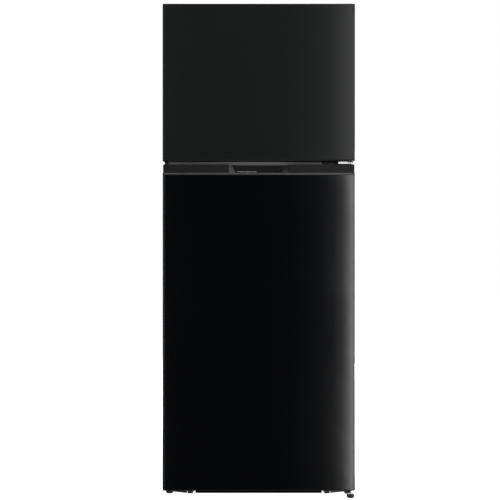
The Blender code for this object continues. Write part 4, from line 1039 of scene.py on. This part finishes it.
shelf_glass = clear_finish("tempered_glass", GLASS_TINT, 0.02, 0.08)
for node in ("upper_shelf", "lower_shelf", "crisper_cover", "freezer_shelf"):
    remade(f"{node}_glass", node, shelf_glass, "cabinet", 0.0005)
    low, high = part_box(node)
    middle = (low.z + high.z) / 2
    trim = slab(
        (low.x, low.y - TRIM_PROUD, middle - TRIM_TALL / 2),
        (high.x, low.y + TRIM_DEEP, middle + TRIM_TALL / 2),
    )
    slot = [f for f in trim.faces if f.normal.y > 0.9]
    lip = (TRIM_TALL - (high.z - low.z)) / 2 - 0.0002
    bmesh.ops.inset_individual(trim, faces=slot, thickness=lip, use_even_offset=True)
    bmesh.ops.translate(trim, verts=slot[0].verts, vec=(0, -TRIM_DEEP + 0.0004, 0))
    front = [e for e in trim.edges if runs_along(e, 0) and centre_of(e).y < low.y - 0.002]
    rounded(trim, front, 0.003, 4)
    new_piece(f"{node}_trim", trim, moulded_white, "cabinet")

# ---------------------------------------------------------------- crispers and door bins
# Clear moulded drawers with a rolled rim and a pull across the front, and clear bins on the doors
# with a white band. Thin ribs inside their fronts stiffen them.

CLEAR_TINT = (0.90, 0.95, 0.96)
PULL_INSET = 0.030
CRISPER_RIBS = 7
BIN_RIBS = 9
RIB_HALF = 0.0009

clear_plastic = clear_finish("clear_plastic_moulded", CLEAR_TINT, 0.08, 0.01)
for hand in ("left", "right"):
    node, body = f"crisper_{hand}", f"{hand}_crisper"
    remade(f"{node}_drawer", node, clear_plastic, body, dissolve=0.2, sharp=40)
    low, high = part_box(node)
    ribs = []
    for rib in range(CRISPER_RIBS):
        x = low.x + (high.x - low.x) * (rib + 1.5) / (CRISPER_RIBS + 2)
        strip = slab(
            (x - RIB_HALF, low.y - 0.0002, low.z + 0.030),
            (x + RIB_HALF, low.y + 0.0006, high.z - 0.070),
        )
        rounded(strip, [e for e in strip.edges if centre_of(e).y < low.y], 0.0006, 2)
        ribs.append(strip)
    new_piece(f"{node}_ribs", joined(*ribs), clear_plastic, body)
    pull = slab(
        (low.x + PULL_INSET, low.y - 0.0003, high.z - 0.040),
        (high.x - PULL_INSET, low.y + 0.0022, high.z - 0.016),
    )
    hollow = [f for f in pull.faces if f.normal.y < -0.9]
    bmesh.ops.inset_individual(
        pull, faces=hollow, thickness=0.004, depth=-0.0014, use_even_offset=True
    )
    rounded(pull, [e for e in pull.edges if runs_along(e, 1)], 0.005, 4)
    new_piece(f"{node}_pull", pull, moulded_white, body)

for node in (
    "freezer_bin_upper", "freezer_bin_lower", "fridge_bin_upper", "fridge_bin_middle",
    "fridge_bin_lower",
):
    body = node.split("_")[0] + "_door"
    remade(f"{node}_tray", node, clear_plastic, body, dissolve=0.2, sharp=40)
    low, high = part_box(node)
    trim = slab(
        (low.x + 0.003, high.y - 0.0028, high.z - 0.016),
        (high.x - 0.003, high.y + 0.0003, high.z - 0.002),
    )
    rounded(trim, [e for e in trim.edges if centre_of(e).y > high.y], 0.0010, 3)
    new_piece(f"{node}_band", trim, moulded_white, body)
    ribs = []
    for rib in range(BIN_RIBS):
        x = low.x + (high.x - low.x) * (rib + 1) / (BIN_RIBS + 1)
        ribs.append(slab(
            (x - RIB_HALF, high.y - 0.0006, low.z + 0.012),
            (x + RIB_HALF, high.y + 0.0003, high.z - 0.020),
        ))
    new_piece(f"{node}_ribs", joined(*ribs), clear_plastic, body)

# ---------------------------------------------------------------- door inner panels
# A vacuum-formed white sheet closes the back of each door. Its flat edge carries the gasket and its
# ridge has small bosses on which the bins hook.

BOSS_WIDE = 0.012
BOSS_TALL = 0.030
BOSS_THICK = 0.0024
BOSS_BELOW_RIM = 0.014

for door in ("freezer_door", "fridge_door"):
    node = f"{door}_inner_panel"
    remade(f"{node}_sheet", node, abs_white, door, dissolve=0.2, sharp=50)
    bosses = []
    for bin_node in [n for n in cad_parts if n.startswith(door.split("_")[0] + "_bin")]:
        bin_low, bin_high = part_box(bin_node)
        for side in (-1, 1):
            x = side * (bin_high.x + 0.0006)
            near, far = sorted((x, x + side * BOSS_THICK))
            boss = slab(
                (near, bin_low.y + 0.008, bin_high.z - BOSS_TALL - BOSS_BELOW_RIM),
                (far, bin_low.y + 0.008 + BOSS_WIDE, bin_high.z - BOSS_BELOW_RIM),
            )
            rounded(boss, [e for e in boss.edges if runs_along(e, 0)], 0.004, 4)
            bosses.append(boss)
    new_piece(f"{door}_bin_bosses", joined(*bosses), abs_white, door)

# ---------------------------------------------------------------- freezer's back
# A vented white cover hides the evaporator and its fan. It is held by four screws, and a grey slider
# in a slot under the grille sets the flow, with ticks and numbers beside it.

GREY_PLASTIC = (0.33, 0.34, 0.35)
INK = (0.05, 0.07, 0.09)
TICKS = 5
TICK_PITCH = 0.014

grey_plastic = moulded("grey_plastic_moulded", GREY_PLASTIC, 0.42)
fan_plastic = moulded("fan_plastic", (0.10, 0.10, 0.105), 0.45)
ink = moulded("printed_ink", INK, 0.5, 0.002, 0.000002)
coil_metal = metal("coil_metal", (0.70, 0.71, 0.72), 0.35)

refinish(coil_metal, "evaporator_coil")
refinish(grey_plastic, "fan_motor")
remade("fan_rotor", "fan_blades", fan_plastic, "fan", dissolve=0.2, sharp=40)

low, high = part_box("evaporator_cover")


def on_front(edge):
    return centre_of(edge).y < low.y + 2e-4


remade(
    "evaporator_panel", "evaporator_cover", moulded_white, "cabinet", 0.0006,
    choose=on_front,
)
places = [
    (x, low.y, z)
    for x in (low.x + 0.016, high.x - 0.016) for z in (low.z + 0.020, high.z - 0.028)
]
screws("evaporator_screws", places, "-Y", 0.0042, 0.0022)
remade("slider_knob", "freezer_slider", grey_plastic, "slider", 0.0004)


def numeral(text, height, centre, turn=0.0):
    """A printed numeral, 0.15 mm thick, that faces -Y. centre is on the surface under it."""
    curve = bpy.data.curves.new("numeral", "FONT")
    curve.body = text
    curve.size = height
    curve.extrude = 0.00008
    curve.align_x, curve.align_y = "CENTER", "CENTER"
    letter = bpy.data.objects.new("numeral", curve)
    mesh = bpy.data.meshes.new_from_object(letter)
    bpy.data.objects.remove(letter)
    bm = bmesh.new()
    bm.from_mesh(mesh)
    bpy.data.meshes.remove(mesh)
    upright = Matrix.Rotation(math.radians(90), 4, "X")
    stand = Matrix.Translation(centre) @ Matrix.Rotation(turn, 4, "Y") @ upright
    bmesh.ops.transform(bm, verts=bm.verts, matrix=stand)
    return bm


slot_z = middle_of("freezer_slider")[2]
marks = []
for tick in range(TICKS):
    x = (tick - (TICKS - 1) / 2) * TICK_PITCH
    marks.append(slab(
        (x - 0.0004, low.y - 0.00015, slot_z + 0.010),
        (x + 0.0004, low.y + 0.0001, slot_z + 0.0135),
    ))
    marks.append(numeral(str(tick + 1), 0.006, (x, low.y - 0.00005, slot_z + 0.0185)))
new_piece("slider_scale", joined(*marks), ink, "cabinet")

# ---------------------------------------------------------------- lamp and thermostat
# A white housing hangs from the fridge's ceiling. Its front holds a grey dial with numbers, and under
# it a ribbed clear lens covers the lamp.

LENS_RIBS = 12
SHAFT_LONG = 0.0125
SHAFT_RADIUS = 0.004
GRIP_TALL = 0.006
DIAL_FLUTES = 24
FLUTE_DEPTH = 0.0006
NUMBERS = 6
FIRST_NUMBER_TURN = -125
NUMBER_STEP = 50

case_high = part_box("control_housing")[1]
remade(
    "control_case", "control_housing", moulded_white, "cabinet", 0.0010, 3,
    choose=lambda edge: centre_of(edge).z < case_high.z - 0.001,
)
dial_low, dial_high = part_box("thermostat_dial")
dial_x, _, dial_z = middle_of("thermostat_dial")
radius = (dial_high.x - dial_low.x) / 2
face_y = dial_low.y + GRIP_TALL
tall = dial_high.y - face_y
rim = [
    (0, tall), (radius * 0.92, tall), (radius, tall - 0.0012), (radius, SHAFT_LONG + 0.0015),
    (radius * 0.96, SHAFT_LONG), (SHAFT_RADIUS, SHAFT_LONG), (SHAFT_RADIUS, 0), (0, 0),
]
dial = turned(rim, (dial_x, dial_high.y, dial_z), "-Y", DIAL_FLUTES * 4)
for vert in dial.verts:
    out = Vector((vert.co.x - dial_x, 0, vert.co.z - dial_z))
    if out.length > radius * 0.985 and math.atan2(out.z, out.x) / math.tau * DIAL_FLUTES % 1 > 0.5:
        vert.co -= out.normalized() * FLUTE_DEPTH
grip = slab(
    (dial_x - 0.003, dial_low.y, dial_z - 0.012), (dial_x + 0.003, face_y + 0.0004, dial_z + 0.012)
)
rounded(grip, [e for e in grip.edges if centre_of(e).y < face_y - 0.001], 0.0014, 3)
new_piece(
    "dial_knob", joined(dial, grip), grey_plastic, "dial", ["thermostat_dial"]
)
figures = []
for number in range(NUMBERS):
    turn = math.radians(FIRST_NUMBER_TURN + NUMBER_STEP * number)
    x = dial_x + math.sin(turn) * radius * 0.70
    z = dial_z + math.cos(turn) * radius * 0.70
    figures.append(numeral(str(number), 0.0044, (x, face_y - 0.00005, z), turn))
dial_ink = moulded("dial_ink", (0.75, 0.76, 0.76), 0.5, 0.002, 0.000002)
new_piece("dial_numbers", joined(*figures), dial_ink, "dial")

remade("lamp_cover", "lamp_lens", clear_plastic, "cabinet", sharp=40)
low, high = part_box("lamp_lens")
strips = []
for rib in range(LENS_RIBS):
    y = low.y + 0.010 + (high.y - low.y - 0.020) * rib / (LENS_RIBS - 1)
    strips.append(slab(
        (low.x + 0.008, y - 0.0014, low.z), (high.x - 0.008, y + 0.0014, low.z + 0.0012)
    ))
new_piece("lamp_ribs", joined(*strips), clear_plastic, "cabinet")

# ---------------------------------------------------------------- cold air duct
# A flat white moulded duct is clipped to the fridge's back wall. The freezer's cold air comes down
# it and blows out of its slots.

low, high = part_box("air_duct")
remade(
    "air_duct_panel", "air_duct", moulded_white, "cabinet", 0.0006,
    choose=on_front, sharp=30,
)
